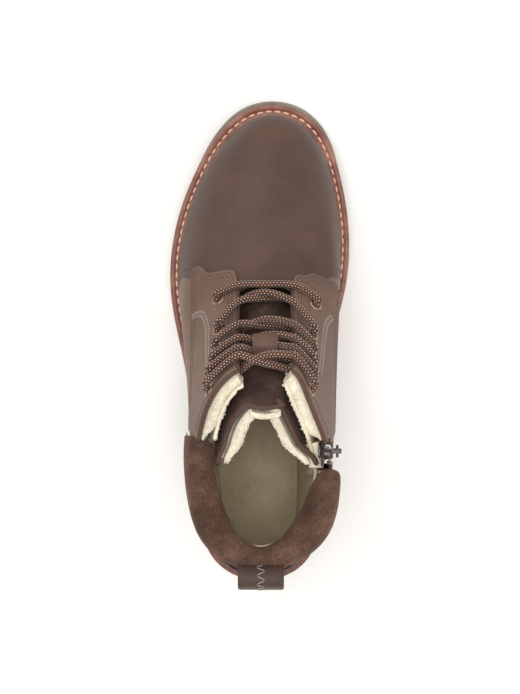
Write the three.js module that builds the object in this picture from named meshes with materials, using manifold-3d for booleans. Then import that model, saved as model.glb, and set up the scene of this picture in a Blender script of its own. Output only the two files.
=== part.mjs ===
// One insulated lace-up ankle boot for the left foot, with a zip on the inner side.
// Millimetres. +Y runs to the toe, +X to the inner (zip) side, +Z up; the sole stands on z = 0.
import * as THREE from "three";
import Module from "manifold-3d";

const wasm = await Module();
wasm.setup();

// ---- sole sizes ----
const FORE_Z = 20.5;          // top of the sole under the ball of the foot
const HEEL_Z = 33.0;          // top of the sole under the heel
const TOE_SPRING = 9.0;       // lift of the toe tip
const SPRING_FROM = 85;       // y where the toe starts to lift
const SPRING_RUN = 66;
const RIM_OUT = 6.6;          // how far the rim stands outside the upper
const RIM_TOE_EXTRA = 2.6;    // extra rim at the toe
const BUMPER_EXTRA = 1.8;     // extra outsole at the toe
const SEAT_DROP = 0.6;        // sole top below the bottom edge of the upper
const WELT_T = 2.6;
const MIDSOLE_T = 5.0;
const OUTSOLE_HEEL_T = 7.0;
const LAYER_GAP = 0.3;
const HEEL_BREAST_Y = -60;    // front face of the heel block
const GROOVE_W = 4.2;
const GROOVE_D = 3.0;
const FORE_GROOVES = [120, 104, 88, 72, 56, 40, 24];
const HEEL_GROOVES = [-84, -102, -120];

// ---- upper layers, measured out from the upper's surface ----
const VAMP_IN = -1.7;
const VAMP_OUT = 0.0;
const QUARTER_OUT = 0.8;
const COVER_IN = 1.15;
const COVER_OUT = 2.6;
const STIFF_IN = -3.2;
const STIFF_OUT = -2.0;
const INSUL_IN = -8.3;
const INSUL_OUT = -3.5;
const LINING_IN = -10.2;
const LINING_OUT = -8.6;
const GUARD_IN = -12.0;
const GUARD_OUT = -10.5;
const TONGUE_TOP = -10.5;     // outer face of the tongue under the facings
const TONGUE_SKIN_T = 1.4;
const TONGUE_FOAM_T = 3.0;
const TONGUE_RISE = 5.6;      // padding swelling up between the facings
const TONGUE_LEAN = 11.0;     // how far the tongue's top leans back
const TONGUE_PINCH = 3.0;     // how far its sides draw together at the top
const COLLAR_TOP_V = 5.5;     // upper layers stop here under the collar

// ---- lace and eyelets ----
const LACE_R = 2.2;
const EYELET_HOLE_R = 3.5;
const EYELET_BORE_R = 2.65;
const EYELET_FLANGE_R = 4.3;
const EYELET_V = [4.15, 4.64, 4.96, 5.25, 5.54, 5.83];
const EYELET_OUTER_U = [1.62, 1.64, 1.74, 1.86, 2.0, 2.16];
const EYELET_INNER_U = [1.76, 1.78, 1.84, 1.92, 2.02, 2.12];
const AGLET_LEN = 7.5;
const KEEPER_W = 14.6;
const KEEPER_T = 1.3;

// ---- zip ----
const ZIP_TOP = new THREE.Vector3(40.0, -60.0, 148.0);
const ZIP_LOW = new THREE.Vector3(43.3, -66.0, 64.0);
const SLIDER_REST = 7.0;      // slider's place below the top end
const TAPE_W = 8.5;
const TAPE_T = 0.9;
const TAPE_LOW = -4.6;        // tape's inner face against the zip line
const TEETH_TOP = 0.6;
const TOOTH_W = 2.1;
const TOOTH_GAP = 1.3;
const SLIDER_L = 12;
const SLIDER_W = 8.4;

// ---- net of the upper's outer surface: seven rows (bottom edge to top edge), nine stations ----
// each entry: x on the outer side, x on the inner side, y, z (null = on the sole's top)
const ROWS = [
  [[0.5, 0.5, -139.5, null], [-23.5, 24.5, -129.5, null], [-34, 33, -97, null], [-37, 32.5, -52, null],
    [-41.5, 34.5, -9, null], [-50.5, 48.5, 43, null], [-39.5, 46.5, 98, null], [-16, 31, 133, null],
    [7.9, 7.9, 143.5, null]],
  [[0.5, 0.5, -142, 51.5], [-24.5, 25.5, -131.5, 51], [-35.5, 35, -97, 48.5], [-39, 36, -54, 44],
    [-44, 39.5, -11, 37], [-52.5, 51.5, 41, 31], [-40.5, 47.8, 98, 35], [-16.5, 32, 134, 42],
    [7.8, 7.8, 146.5, 44]],
  [[0.5, 0.5, -141, 68], [-24, 25, -130.5, 67], [-36, 37, -97, 63], [-41, 40.5, -57, 58],
    [-45, 43.5, -14, 50], [-51, 51, 38, 44.5], [-37, 46, 92, 50], [-14, 30, 123, 59], [7.3, 7.3, 134, 63]],
  [[0.5, 0.5, -136.5, 85], [-23, 24, -127.5, 84], [-36, 38, -97, 81], [-42, 43.2, -62, 76],
    [-44.6, 45.6, -20, 69], [-47, 48.5, 25, 64], [-34, 42, 66, 65], [-15, 26, 90, 71.5], [5.5, 5.5, 98, 75]],
  [[0.5, 0.5, -131.5, 102], [-22, 23.5, -124, 101], [-35, 38, -100, 99], [-41, 43.4, -68, 95],
    [-43, 45, -33, 90], [-41.5, 45, -1, 85], [-31, 37, 26, 83], [-13.4, 20, 45, 85.5],
    [3.4, 3.4, 49.5, 86.6]],
  [[0.5, 0.5, -128, 118], [-21, 22.5, -120.5, 118], [-33.5, 38, -103, 118], [-39.5, 42.6, -76, 118],
    [-41, 43, -49, 118], [-36.5, 39.5, -26, 118], [-28, 31, -7, 119.5], [-13.2, 19.6, 5, 121],
    [3, 3, 6.5, 121.5]],
  [[0.5, 0.5, -126.5, 134.5], [-20, 21.5, -120.5, 135.5], [-32.5, 35.5, -106, 137.5], [-37, 40.5, -83, 141],
    [-36.5, 39.5, -61, 146], [-33, 33, -42, 153], [-26, 26.5, -26, 160], [-12.6, 18.6, -13.5, 164.5],
    [3, 3, -13, 165.5]],
];
const NU = 16;                // stations all round
const CELLS = 2;              // grid cells per station
const ROW_CELLS = 2;          // grid cells per row
const NV = ROWS.length - 1;

const clamp = (x, a, b) => Math.min(b, Math.max(a, x));
const smooth = (t) => t * t * (3 - 2 * t);
const lerp = (a, b, t) => a + (b - a) * t;

function springAt(y) {
  return TOE_SPRING * Math.max(0, (y - SPRING_FROM) / SPRING_RUN) ** 2;
}

function soleTop(y) {
  const t = smooth(clamp((25 - y) / 95, 0, 1));
  return FORE_Z + (HEEL_Z - FORE_Z) * t + springAt(y);
}

// ---- the surface: a bicubic B-spline through the net ----
function netPoints() {
  return ROWS.map((row) => {
    const ring = new Array(NU);
    row.forEach(([outerX, innerX, y, z], k) => {
      const zz = z === null ? soleTop(y) : z;
      ring[k] = [outerX, y, zz];
      if (k > 0 && k < NU / 2) {
        ring[NU - k] = [innerX, y, zz];
      }
    });
    return ring;
  });
}

function solveSpline(count, get, set, periodic) {
  const first = periodic ? 0 : 1;
  const last = periodic ? count : count - 1;
  for (let pass = 0; pass < 60; pass += 1) {
    for (let i = first; i < last; i += 1) {
      for (let a = 0; a < 3; a += 1) {
        const before = get((i + count - 1) % count)[a];
        const after = get((i + 1) % count)[a];
        set(i, a, before, after);
      }
    }
  }
}

function netCoefficients() {
  const pts = netPoints();
  const c = pts.map((row) => row.map((p) => [...p]));
  c.forEach((row, r) => {
    solveSpline(NU, (i) => row[i], (i, a, before, after) => {
      row[i][a] = (6 * pts[r][i][a] - before - after) / 4;
    }, true);
  });
  const target = c.map((row) => row.map((p) => [...p]));
  for (let k = 0; k < NU; k += 1) {
    solveSpline(NV + 1, (i) => c[i][k], (i, a, before, after) => {
      c[i][k][a] = (6 * target[i][k][a] - before - after) / 4;
    }, false);
  }
  const low = c[0].map((p, k) => p.map((x, a) => 2 * x - c[1][k][a]));
  const high = c[NV].map((p, k) => p.map((x, a) => 2 * x - c[NV - 1][k][a]));
  return [low, ...c, high];
}

const COEF = netCoefficients();

function weights(t) {
  const s = 1 - t;
  return [s * s * s / 6, (3 * t * t * t - 6 * t * t + 4) / 6, (-3 * t * t * t + 3 * t * t + 3 * t + 1) / 6,
    t * t * t / 6];
}

function surf(u, v) {
  const iu = Math.floor(u);
  const iv = Math.min(Math.floor(clamp(v, 0, NV)), NV - 1);
  const bu = weights(u - iu);
  const bv = weights(clamp(v, 0, NV) - iv);
  const out = new THREE.Vector3();
  for (let a = 0; a < 4; a += 1) {
    for (let b = 0; b < 4; b += 1) {
      const k = (((iu - 1 + b) % NU) + NU) % NU;
      const w = bv[a] * bu[b];
      const p = COEF[iv + a][k];
      out.x += w * p[0];
      out.y += w * p[1];
      out.z += w * p[2];
    }
  }
  return out;
}

function surfNormal(u, v) {
  const e = 0.02;
  const du = surf(u + e, v).sub(surf(u - e, v));
  const dv = surf(u, clamp(v + e, 0, NV)).sub(surf(u, clamp(v - e, 0, NV)));
  return dv.cross(du).normalize();
}

// ---- one shared coarse grid, so that stacked layers never cross ----
const GRID_U = NU * CELLS;
const GRID_V = NV * ROW_CELLS;
const nodeP = [];
const nodeN = [];
for (let j = 0; j <= GRID_V; j += 1) {
  nodeP.push([]);
  nodeN.push([]);
  for (let i = 0; i < GRID_U; i += 1) {
    nodeP[j].push(surf(i / CELLS, j / ROW_CELLS));
    nodeN[j].push(surfNormal(i / CELLS, j / ROW_CELLS));
  }
}

function node(i, j, off) {
  const k = ((i % GRID_U) + GRID_U) % GRID_U;
  if (typeof off === "function") {
    const [o, dx, dy] = off(i / CELLS, j / ROW_CELLS);
    const p = nodeP[j][k].clone().addScaledVector(nodeN[j][k], o);
    return p.add(new THREE.Vector3(dx, dy, 0));
  }
  return nodeP[j][k].clone().addScaledVector(nodeN[j][k], off);
}

function at(u, v, off) {
  const gu = u * CELLS;
  const gv = clamp(v, 0, NV) * ROW_CELLS;
  const i = Math.floor(gu);
  const j = Math.min(Math.floor(gv), GRID_V - 1);
  const a = gu - i;
  const b = gv - j;
  const p00 = node(i, j, off);
  const p10 = node(i + 1, j, off);
  const p01 = node(i, j + 1, off);
  const p11 = node(i + 1, j + 1, off);
  const out = new THREE.Vector3();
  if (a + b <= 1) {
    return out.addScaledVector(p00, 1 - a - b).addScaledVector(p10, a).addScaledVector(p01, b);
  }
  return out.addScaledVector(p11, a + b - 1).addScaledVector(p10, 1 - b).addScaledVector(p01, 1 - a);
}

function axisAt(u, v) {
  return at(u, v, 1).sub(at(u, v, 0)).normalize();
}

// ---- boundaries of the panels, station against row ----
const SEAM = [[0, 4.75], [1, 4.8], [2, 5.05], [2.7, 5.4], [3.2, 5.85], [3.6, 6.35], [3.95, 6.75], [4.2, 7],
  [6, 7]];
const ZIP_LINE = [[0, 13.3], [2, 13.18], [3, 13.1], [4, 12.9], [5, 12.5], [6, 12.0]];
const SLIT = 0.02;            // half seam width in stations
const COLLAR_OUTER_U = 4.42;
const FIXED = (u) => [[0, u], [6, u]];
const shift = (table, d) => table.map(([v, u]) => [v, u + d]);
const mirror = (table, d = 0) => table.map(([v, u]) => [v, NU - u + d]);
const lower = (table, limit) => {
  const rows = new Set([...table.map(([v]) => v), 3, 3.05]);
  return [...rows].sort((a, b) => a - b).map((v) => [v, Math.min(lineAt(table, v), limit)]);
};

const SEAM_OUT = shift(SEAM, -SLIT);
const SEAM_IN = shift(SEAM, SLIT);
const INSUL_EDGE = lower(SEAM_OUT, 5.55);

function quarterStrips(side, edge, back, collarEnd) {
  if (side < 0) {
    return [...stripsBetween(0, COLLAR_TOP_V, FIXED(back), edge),
      ...stripsBetween(COLLAR_TOP_V, 6, FIXED(COLLAR_OUTER_U + 0.05), edge)];
  }
  return [...stripsBetween(0, COLLAR_TOP_V, mirror(edge), FIXED(NU - back)),
    ...stripsBetween(COLLAR_TOP_V, 6, mirror(edge), collarEnd)];
}

const COLLAR_INNER = shift(ZIP_LINE, 0.46);
const LAYER_END = shift(ZIP_LINE, 0.34);

// ---- mesh helpers ----
function bodyFrom(points, tris) {
  const pos = new Float32Array(points.length * 3);
  points.forEach((p, i) => {
    pos[3 * i] = p.x;
    pos[3 * i + 1] = p.y;
    pos[3 * i + 2] = p.z;
  });
  let volume = 0;
  tris.forEach(([a, b, c]) => {
    volume += points[a].dot(points[b].clone().cross(points[c]));
  });
  const index = [];
  tris.forEach(([a, b, c]) => {
    if (volume > 0) {
      index.push(a, b, c);
    } else {
      index.push(a, c, b);
    }
  });
  const g = new THREE.BufferGeometry();
  g.setAttribute("position", new THREE.BufferAttribute(pos, 3));
  g.setIndex(index);
  return g;
}

function clipPoly(poly, side) {
  const out = [];
  poly.forEach((p, i) => {
    const q = poly[(i + 1) % poly.length];
    const sp = side(p);
    const sq = side(q);
    if (sp >= 0) {
      out.push(p);
    }
    if ((sp > 0 && sq < 0) || (sp < 0 && sq > 0)) {
      const t = sp / (sp - sq);
      out.push([lerp(p[0], q[0], t), lerp(p[1], q[1], t)]);
    }
  });
  return out;
}

function lineAt(table, v) {
  for (let i = 1; i < table.length; i += 1) {
    if (v <= table[i][0] + 1e-9) {
      const [v0, u0] = table[i - 1];
      const [v1, u1] = table[i];
      return lerp(u0, u1, clamp((v - v0) / (v1 - v0), 0, 1));
    }
  }
  return table[table.length - 1][1];
}

// strips: [v0, v1, uA at v0, uA at v1, uB at v0, uB at v1]
function stripsBetween(v0, v1, tableA, tableB) {
  const cuts = new Set([v0, v1]);
  [...tableA, ...tableB].forEach(([v]) => {
    if (v > v0 && v < v1) {
      cuts.add(v);
    }
  });
  const list = [...cuts].sort((a, b) => a - b);
  const strips = [];
  for (let i = 1; i < list.length; i += 1) {
    strips.push([list[i - 1], list[i], lineAt(tableA, list[i - 1]), lineAt(tableA, list[i]),
      lineAt(tableB, list[i - 1]), lineAt(tableB, list[i])]);
  }
  return strips;
}

function panel(strips, inner, outer) {
  const keys = new Map();
  const flat = [];
  const faces = [];
  const idOf = (p) => {
    const key = `${Math.round(p[0] * 20000)},${Math.round(p[1] * 20000)}`;
    if (!keys.has(key)) {
      keys.set(key, flat.length);
      flat.push(p);
    }
    return keys.get(key);
  };
  strips.forEach(([v0, v1, a0, a1, b0, b1]) => {
    const lineA = (p) => p[0] - lerp(a0, a1, (p[1] - v0) / (v1 - v0));
    const lineB = (p) => lerp(b0, b1, (p[1] - v0) / (v1 - v0)) - p[0];
    const i0 = Math.floor(Math.min(a0, a1) * CELLS) - 1;
    const i1 = Math.ceil(Math.max(b0, b1) * CELLS) + 1;
    const j0 = Math.floor(v0 * ROW_CELLS);
    const j1 = Math.min(Math.ceil(v1 * ROW_CELLS), GRID_V);
    for (let j = j0; j < j1; j += 1) {
      for (let i = i0; i < i1; i += 1) {
        const c = [[i, j], [i + 1, j], [i + 1, j + 1], [i, j + 1]].map(([x, y]) => [x / CELLS, y / ROW_CELLS]);
        [[c[0], c[1], c[3]], [c[1], c[2], c[3]]].forEach((tri) => {
          let poly = clipPoly(tri, (p) => p[1] - v0);
          poly = clipPoly(poly, (p) => v1 - p[1]);
          poly = clipPoly(poly, lineA);
          poly = clipPoly(poly, lineB);
          const ids = poly.map(idOf).filter((id, k, all) => id !== all[(k + 1) % all.length]);
          for (let k = 1; k + 1 < ids.length; k += 1) {
            if (ids[0] !== ids[k] && ids[k] !== ids[k + 1] && ids[0] !== ids[k + 1]) {
              faces.push([ids[0], ids[k], ids[k + 1]]);
            }
          }
        });
      }
    }
  });
  const n = flat.length;
  const points = [...flat.map((p) => at(p[0], p[1], outer)), ...flat.map((p) => at(p[0], p[1], inner))];
  const edges = new Map();
  const tris = [];
  faces.forEach(([a, b, c]) => {
    tris.push([a, b, c], [a + n, c + n, b + n]);
    [[a, b], [b, c], [c, a]].forEach(([p, q]) => {
      if (edges.has(`${q},${p}`)) {
        edges.delete(`${q},${p}`);
      } else {
        edges.set(`${p},${q}`, [p, q]);
      }
    });
  });
  edges.forEach(([p, q]) => {
    tris.push([q, p, p + n], [q, p + n, q + n]);
  });
  return bodyFrom(points, tris);
}

// a closed loft through rings of equal point count, ends capped
function loft(rings, closed = false) {
  const points = rings.flat();
  const m = rings[0].length;
  const tris = [];
  const last = closed ? rings.length : rings.length - 1;
  for (let r = 0; r < last; r += 1) {
    const s = (r + 1) % rings.length;
    for (let k = 0; k < m; k += 1) {
      const l = (k + 1) % m;
      tris.push([r * m + k, r * m + l, s * m + l], [r * m + k, s * m + l, s * m + k]);
    }
  }
  if (!closed) {
    [0, rings.length - 1].forEach((r, end) => {
      const flat2 = capPlane(rings[r]);
      THREE.ShapeUtils.triangulateShape(flat2, []).forEach(([a, b, c]) => {
        const tri = end === 0 ? [a, c, b] : [a, b, c];
        tris.push(capTurn(flat2) ? tri.map((x) => r * m + x) : [tri[0], tri[2], tri[1]].map((x) => r * m + x));
      });
    });
  }
  return bodyFrom(points, tris);
}

function capPlane(ring) {
  const n = new THREE.Vector3();
  ring.forEach((p, k) => {
    n.add(p.clone().cross(ring[(k + 1) % ring.length]));
  });
  n.normalize();
  const ex = ring[1].clone().sub(ring[0]).normalize();
  const ey = n.clone().cross(ex);
  return ring.map((p) => new THREE.Vector2(p.dot(ex), p.dot(ey)));
}

function capTurn(flat2) {
  return THREE.ShapeUtils.area(flat2) > 0;
}

function toManifold(g) {
  const merged = g.index ? g : null;
  const src = merged ?? g;
  const pos = src.getAttribute("position");
  const map = new Map();
  const verts = [];
  const remap = [];
  for (let i = 0; i < pos.count; i += 1) {
    const key = [pos.getX(i), pos.getY(i), pos.getZ(i)].map((x) => Math.round(x * 2000)).join();
    if (!map.has(key)) {
      map.set(key, verts.length / 3);
      verts.push(pos.getX(i), pos.getY(i), pos.getZ(i));
    }
    remap.push(map.get(key));
  }
  const idx = src.index ? [...src.index.array] : remap.map((_, i) => i);
  const tri = [];
  for (let i = 0; i < idx.length; i += 3) {
    const [a, b, c] = [remap[idx[i]], remap[idx[i + 1]], remap[idx[i + 2]]];
    if (a !== b && b !== c && a !== c) {
      tri.push(a, b, c);
    }
  }
  return new wasm.Manifold(new wasm.Mesh({
    numProp: 3, vertProperties: new Float32Array(verts), triVerts: new Uint32Array(tri),
  }));
}

function fromManifold(m) {
  const mesh = m.getMesh();
  const g = new THREE.BufferGeometry();
  g.setAttribute("position", new THREE.BufferAttribute(new Float32Array(mesh.vertProperties), 3));
  g.setIndex([...mesh.triVerts]);
  return g;
}

function cut(g, cutters) {
  let m = toManifold(g);
  cutters.forEach((c) => {
    m = m.subtract(toManifold(c));
  });
  const pieces = m.decompose().sort((a, b) => b.volume() - a.volume());
  return fromManifold(pieces[0]);
}

function join(parts) {
  let m = toManifold(parts[0]);
  parts.slice(1).forEach((c) => {
    m = m.add(toManifold(c));
  });
  return fromManifold(m);
}

function lathe(profile, segments, centre, axis) {
  const rings = [];
  for (let s = 0; s < segments; s += 1) {
    const a = 2 * Math.PI * s / segments;
    rings.push(profile.map(([r, h]) => new THREE.Vector3(r * Math.cos(a), r * Math.sin(a), h)));
  }
  const g = loft(rings, true);
  const q = new THREE.Quaternion().setFromUnitVectors(new THREE.Vector3(0, 0, 1), axis);
  g.applyQuaternion(q);
  g.translate(centre.x, centre.y, centre.z);
  return g;
}

function rod(centre, axis, radius, from, to, segments = 14) {
  const g = new THREE.CylinderGeometry(radius, radius, to - from, segments);
  g.rotateX(Math.PI / 2);
  g.translate(0, 0, (from + to) / 2);
  g.applyQuaternion(new THREE.Quaternion().setFromUnitVectors(new THREE.Vector3(0, 0, 1), axis));
  g.translate(centre.x, centre.y, centre.z);
  return g;
}

// ---- sole outline ----
function outline(grow, toeGrow = 0, heelGrow = 0) {
  const ring = [];
  const n = GRID_U;
  for (let i = 0; i < n; i += 1) {
    const p = nodeP[0][i];
    const q0 = nodeP[0][(i + n - 1) % n];
    const q1 = nodeP[0][(i + 1) % n];
    const t = q1.clone().sub(q0);
    const out = new THREE.Vector2(t.y, -t.x).normalize();
    if (out.dot(new THREE.Vector2(p.x - 2, p.y * 0.35)) < 0) {
      out.negate();
    }
    const toe = clamp((p.y - 105) / 35, 0, 1) * toeGrow + clamp((-115 - p.y) / 25, 0, 1) * heelGrow;
    ring.push(new THREE.Vector2(p.x + out.x * (grow + toe), p.y + out.y * (grow + toe)));
  }
  return ring;
}

// a plate bounded by an outline, its top and bottom heights depending on y alone
function plate(ring, top, bottom, from = -999) {
  const n = ring.length;
  const half = n / 2;
  const rows = [];
  for (let i = 0; i <= half; i += 1) {
    rows.push([ring[i], ring[(n - i) % n]]);
  }
  const rings = [];
  rows.forEach(([l, r]) => {
    const y = (l.y + r.y) / 2;
    if (y < from) {
      const flatEnd = Math.abs(l.x - r.x) < 1 ? 0.6 : 0;
      rings.push([[l.x - flatEnd, y], [r.x + flatEnd, y]]);
    }
  });
  return rings.map(([a, b]) => [
    new THREE.Vector3(a[0], a[1], top(a[1])), new THREE.Vector3(b[0], b[1], top(b[1])),
    new THREE.Vector3(b[0], b[1], bottom(b[1])), new THREE.Vector3(a[0], a[1], bottom(a[1])),
  ]);
}

function slab(ring, top, bottom, yMax = 999) {
  const rings = plate(ring, top, bottom, yMax);
  return loft(rings);
}

function ringPlate(outer, inner, top, bottom) {
  const rings = outer.map((o, i) => {
    const k = inner[i];
    return [new THREE.Vector3(o.x, o.y, top(o.y)), new THREE.Vector3(k.x, k.y, top(k.y)),
      new THREE.Vector3(k.x, k.y, bottom(k.y)), new THREE.Vector3(o.x, o.y, bottom(o.y))];
  });
  return loft(rings, true);
}

const seatZ = (y) => soleTop(y) - SEAT_DROP;
const weltLow = (y) => seatZ(y) - WELT_T;
const midTop = (y) => weltLow(y) - LAYER_GAP;
const midLow = (y) => midTop(y) - MIDSOLE_T;
const outTop = (y) => midLow(y) - LAYER_GAP;
const outLow = (y) => lerp(springAt(y), outTop(y) - OUTSOLE_HEEL_T, smooth(clamp((-5 - y) / 40, 0, 1)));
const heelTop = (y) => outLow(y) - LAYER_GAP;

const group = new THREE.Group();
group.name = "insulated_boot";

function add(name, g, color, rough = 0.8, metal = 0) {
  const clean = g.index ? g : g;
  clean.computeVertexNormals();
  const mesh = new THREE.Mesh(clean, new THREE.MeshStandardMaterial({ color, roughness: rough,
    metalness: metal }));
  mesh.name = name;
  group.add(mesh);
  return mesh;
}

const LEATHER = 0x6b574c;
const LEATHER_DARK = 0x5f4a40;
const TAN_RIM = 0x7a4a3a;
const OUTSOLE_COL = 0xa8a090;
const WOOL = 0xe2dcc6;
const FELT = 0x857c68;
const PADDING = 0xd8d4cc;
const BRASS = 0xa08070;
const LACE_COL = 0x5a3a2c;
const ZIP_METAL = 0x6b5f60;
const ZIP_TAPE = 0x4a3a34;

// ---- sole ----
const rimRing = outline(RIM_OUT, RIM_TOE_EXTRA, 0.4);
const bumperRing = outline(RIM_OUT - 0.6, RIM_TOE_EXTRA + BUMPER_EXTRA + 0.6, 1.4);
const grooves = FORE_GROOVES.map((y) => {
  const g = new THREE.BoxGeometry(84, GROOVE_W, 2 * GROOVE_D);
  g.translate(2, y, springAt(y));
  return g;
});
add("outsole", cut(slab(bumperRing, outTop, outLow), grooves), OUTSOLE_COL, 0.9);
const heelGrooves = HEEL_GROOVES.map((y) => {
  const g = new THREE.BoxGeometry(54, GROOVE_W, 2 * GROOVE_D);
  g.translate(0, y, 0);
  return g;
});
add("heel_lift", cut(slab(bumperRing, heelTop, () => 0, HEEL_BREAST_Y), heelGrooves), OUTSOLE_COL, 0.9);
const shankTop = midTop(-30) - 0.3;
const pocket = new THREE.BoxGeometry(12.8, 98, 8.0);
const shankTilt = Math.atan2(midTop(12) - midTop(-72), 84);
pocket.rotateX(shankTilt);
const shankMid = (midTop(12) + midTop(-72)) / 2;
pocket.translate(-1, -30, shankMid - 1.9 - 0.7 - LAYER_GAP + 4.0);
const shank = new THREE.BoxGeometry(12, 95.4, 1.4);
shank.rotateX(shankTilt);
shank.translate(-1, -30, shankMid - 1.9);
add("midsole", cut(slab(rimRing, midTop, midLow), [pocket]), TAN_RIM, 0.7);
add("shank", shank, 0x8a8a8c, 0.4, 1);
add("welt", ringPlate(rimRing, outline(-2.2), seatZ, weltLow), TAN_RIM, 0.7);
add("insole_board", slab(outline(-2.6), seatZ, weltLow), 0xb09870, 0.95);
add("footbed", slab(outline(-10.9), (y) => seatZ(y) + 5.3, (y) => seatZ(y) + 0.3), FELT, 1);

// ---- upper ----
add("vamp", panel(stripsBetween(0, 4.1, SEAM_IN, mirror(SEAM_IN)), VAMP_IN, VAMP_OUT), LEATHER);
add("toe_puff", panel(stripsBetween(0, 2.9, [[0, 6.1], [2.9, 7.1]], [[0, 9.9], [2.9, 8.9]]), STIFF_IN,
  STIFF_OUT), 0xc8b890);
add("heel_counter", panel(stripsBetween(0, 2.7, [[0, -3.1], [2.7, -2.3]], [[0, 2.85], [2.7, 2.3]]), STIFF_IN,
  STIFF_OUT), 0xc8b890);

const eyelets = [];
[-1, 1].forEach((side) => {
  EYELET_V.forEach((v, k) => {
    const u = NU / 2 + side * (side < 0 ? EYELET_OUTER_U : EYELET_INNER_U)[k];
    eyelets.push({ name: `eyelet_${side < 0 ? "outer" : "inner"}_${k + 1}`, u, v, side, k,
      centre: at(u, v, 0), axis: axisAt(u, v) });
  });
});

const zipDown = ZIP_LOW.clone().sub(ZIP_TOP).normalize();
const zipOut = new THREE.Vector3();
[3, 4, 5, 6].forEach((v) => zipOut.add(axisAt(lineAt(ZIP_LINE, v), v)));
zipOut.addScaledVector(zipDown, -zipOut.dot(zipDown)).normalize();
const zipSide = zipDown.clone().cross(zipOut).normalize();
const zipLength = ZIP_LOW.distanceTo(ZIP_TOP);
const zipBasis = new THREE.Matrix4().makeBasis(zipSide, zipDown, zipOut).setPosition(ZIP_TOP);

// a box in the zip's own axes: across, down along the zip, outwards
function zipBox(across, along, outwards) {
  const g = new THREE.BoxGeometry(across[1] - across[0], along[1] - along[0], outwards[1] - outwards[0]);
  g.translate((across[0] + across[1]) / 2, (along[0] + along[1]) / 2, (outwards[0] + outwards[1]) / 2);
  g.applyMatrix4(zipBasis);
  return g;
}

const quarterHoles = (side) => eyelets.filter((e) => e.side === side)
  .map((e) => rod(e.centre, e.axis, EYELET_HOLE_R, -6, 6));
const zipSlot = zipBox([-5.8, 5.8], [-20, zipLength + 2], [-9, 9]);
const tapeBed = zipBox([-9.6, 9.6], [-20, zipLength + 3.6], [-9, TAPE_LOW + TAPE_T + 0.25]);
const zipChannel = zipBox([-11, 11], [-20, zipLength + 5], [-12, 9]);
const liningSlit = zipBox([-0.6, 0.6], [-20, zipLength], [-20, 9]);

add("quarter_outer", cut(panel(quarterStrips(-1, SEAM_OUT, SLIT, null), VAMP_IN, QUARTER_OUT),
  quarterHoles(-1)), LEATHER);
add("quarter_inner", cut(panel(quarterStrips(1, SEAM_OUT, SLIT, ZIP_LINE), VAMP_IN, QUARTER_OUT),
  [...quarterHoles(1), zipSlot, tapeBed]), LEATHER);
add("heel_cover", panel(stripsBetween(0, 3, [[0, -1.6], [3, -0.75]], [[0, 1.6], [3, 0.75]]), COVER_IN,
  COVER_OUT), LEATHER_DARK);

add("insulation_vamp", panel(stripsBetween(0, 3.8, SEAM_IN, mirror(SEAM_IN)), INSUL_IN, INSUL_OUT), PADDING, 1);
add("insulation_outer", panel(quarterStrips(-1, INSUL_EDGE, SLIT, null), INSUL_IN, INSUL_OUT), PADDING, 1);
add("insulation_inner", cut(panel(quarterStrips(1, INSUL_EDGE, SLIT, LAYER_END), INSUL_IN, INSUL_OUT),
  [zipChannel]), PADDING, 1);
add("lining_vamp", panel(stripsBetween(0, 4, SEAM_IN, mirror(SEAM_IN)), LINING_IN, LINING_OUT), WOOL, 1);
add("lining_outer", panel(quarterStrips(-1, SEAM_OUT, 1.8 + SLIT, null), LINING_IN, LINING_OUT), WOOL, 1);
add("lining_inner", cut(panel(quarterStrips(1, SEAM_OUT, 1.8 + SLIT, LAYER_END), LINING_IN, LINING_OUT),
  [liningSlit]), WOOL, 1);
add("lining_heel", panel(stripsBetween(0, COLLAR_TOP_V, FIXED(-1.8 + SLIT), FIXED(1.8 - SLIT)), LINING_IN,
  LINING_OUT), FELT, 1);
add("zip_guard", panel(stripsBetween(2.6, 5.8, shift(ZIP_LINE, -0.3), shift(ZIP_LINE, 0.26)), GUARD_IN,
  GUARD_OUT), WOOL, 1);

// ---- collar ----
function collarRings(section, steps) {
  const rings = [];
  for (let s = 0; s <= steps; s += 1) {
    rings.push(section.map(([o, v, h]) => {
      const uStart = lineAt(COLLAR_INNER, v) - NU;
      const u = lerp(uStart, COLLAR_OUTER_U, s / steps);
      const p = at(u, v, o);
      p.z += h;
      return p;
    }));
  }
  return rings;
}
const COLLAR_SKIN = [[2.9, 5.0, 0], [4.7, 5.35, 0], [5.4, 5.7, 0], [4.6, 6, 0], [1.6, 6, 3.1], [-3.5, 6, 4.6],
  [-8.5, 6, 3.3], [-12.0, 6, 0], [-12.8, 5.7, 0], [-12.0, 5.35, 0],
  [-10.6, 5.35, 0], [-11.4, 5.7, 0], [-10.7, 6, -0.3], [-7.8, 6, 2.0], [-3.5, 6, 3.2], [0.9, 6, 1.8],
  [3.2, 6, -0.4], [4.0, 5.7, 0], [3.3, 5.35, 0], [1.6, 5.0, 0]];
const COLLAR_FILL = [[3.4, 5.62, 0], [2.8, 6, -0.6], [0.6, 6, 1.4], [-3.5, 6, 2.8], [-7.6, 6, 1.6],
  [-10.2, 6, -0.6], [-10.9, 5.7, 0], [-10.9, 5.62, 0]];
add("collar", loft(collarRings(COLLAR_SKIN, 20)), LEATHER_DARK);
add("collar_foam", loft(collarRings(COLLAR_FILL, 20)), PADDING, 1);

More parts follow.
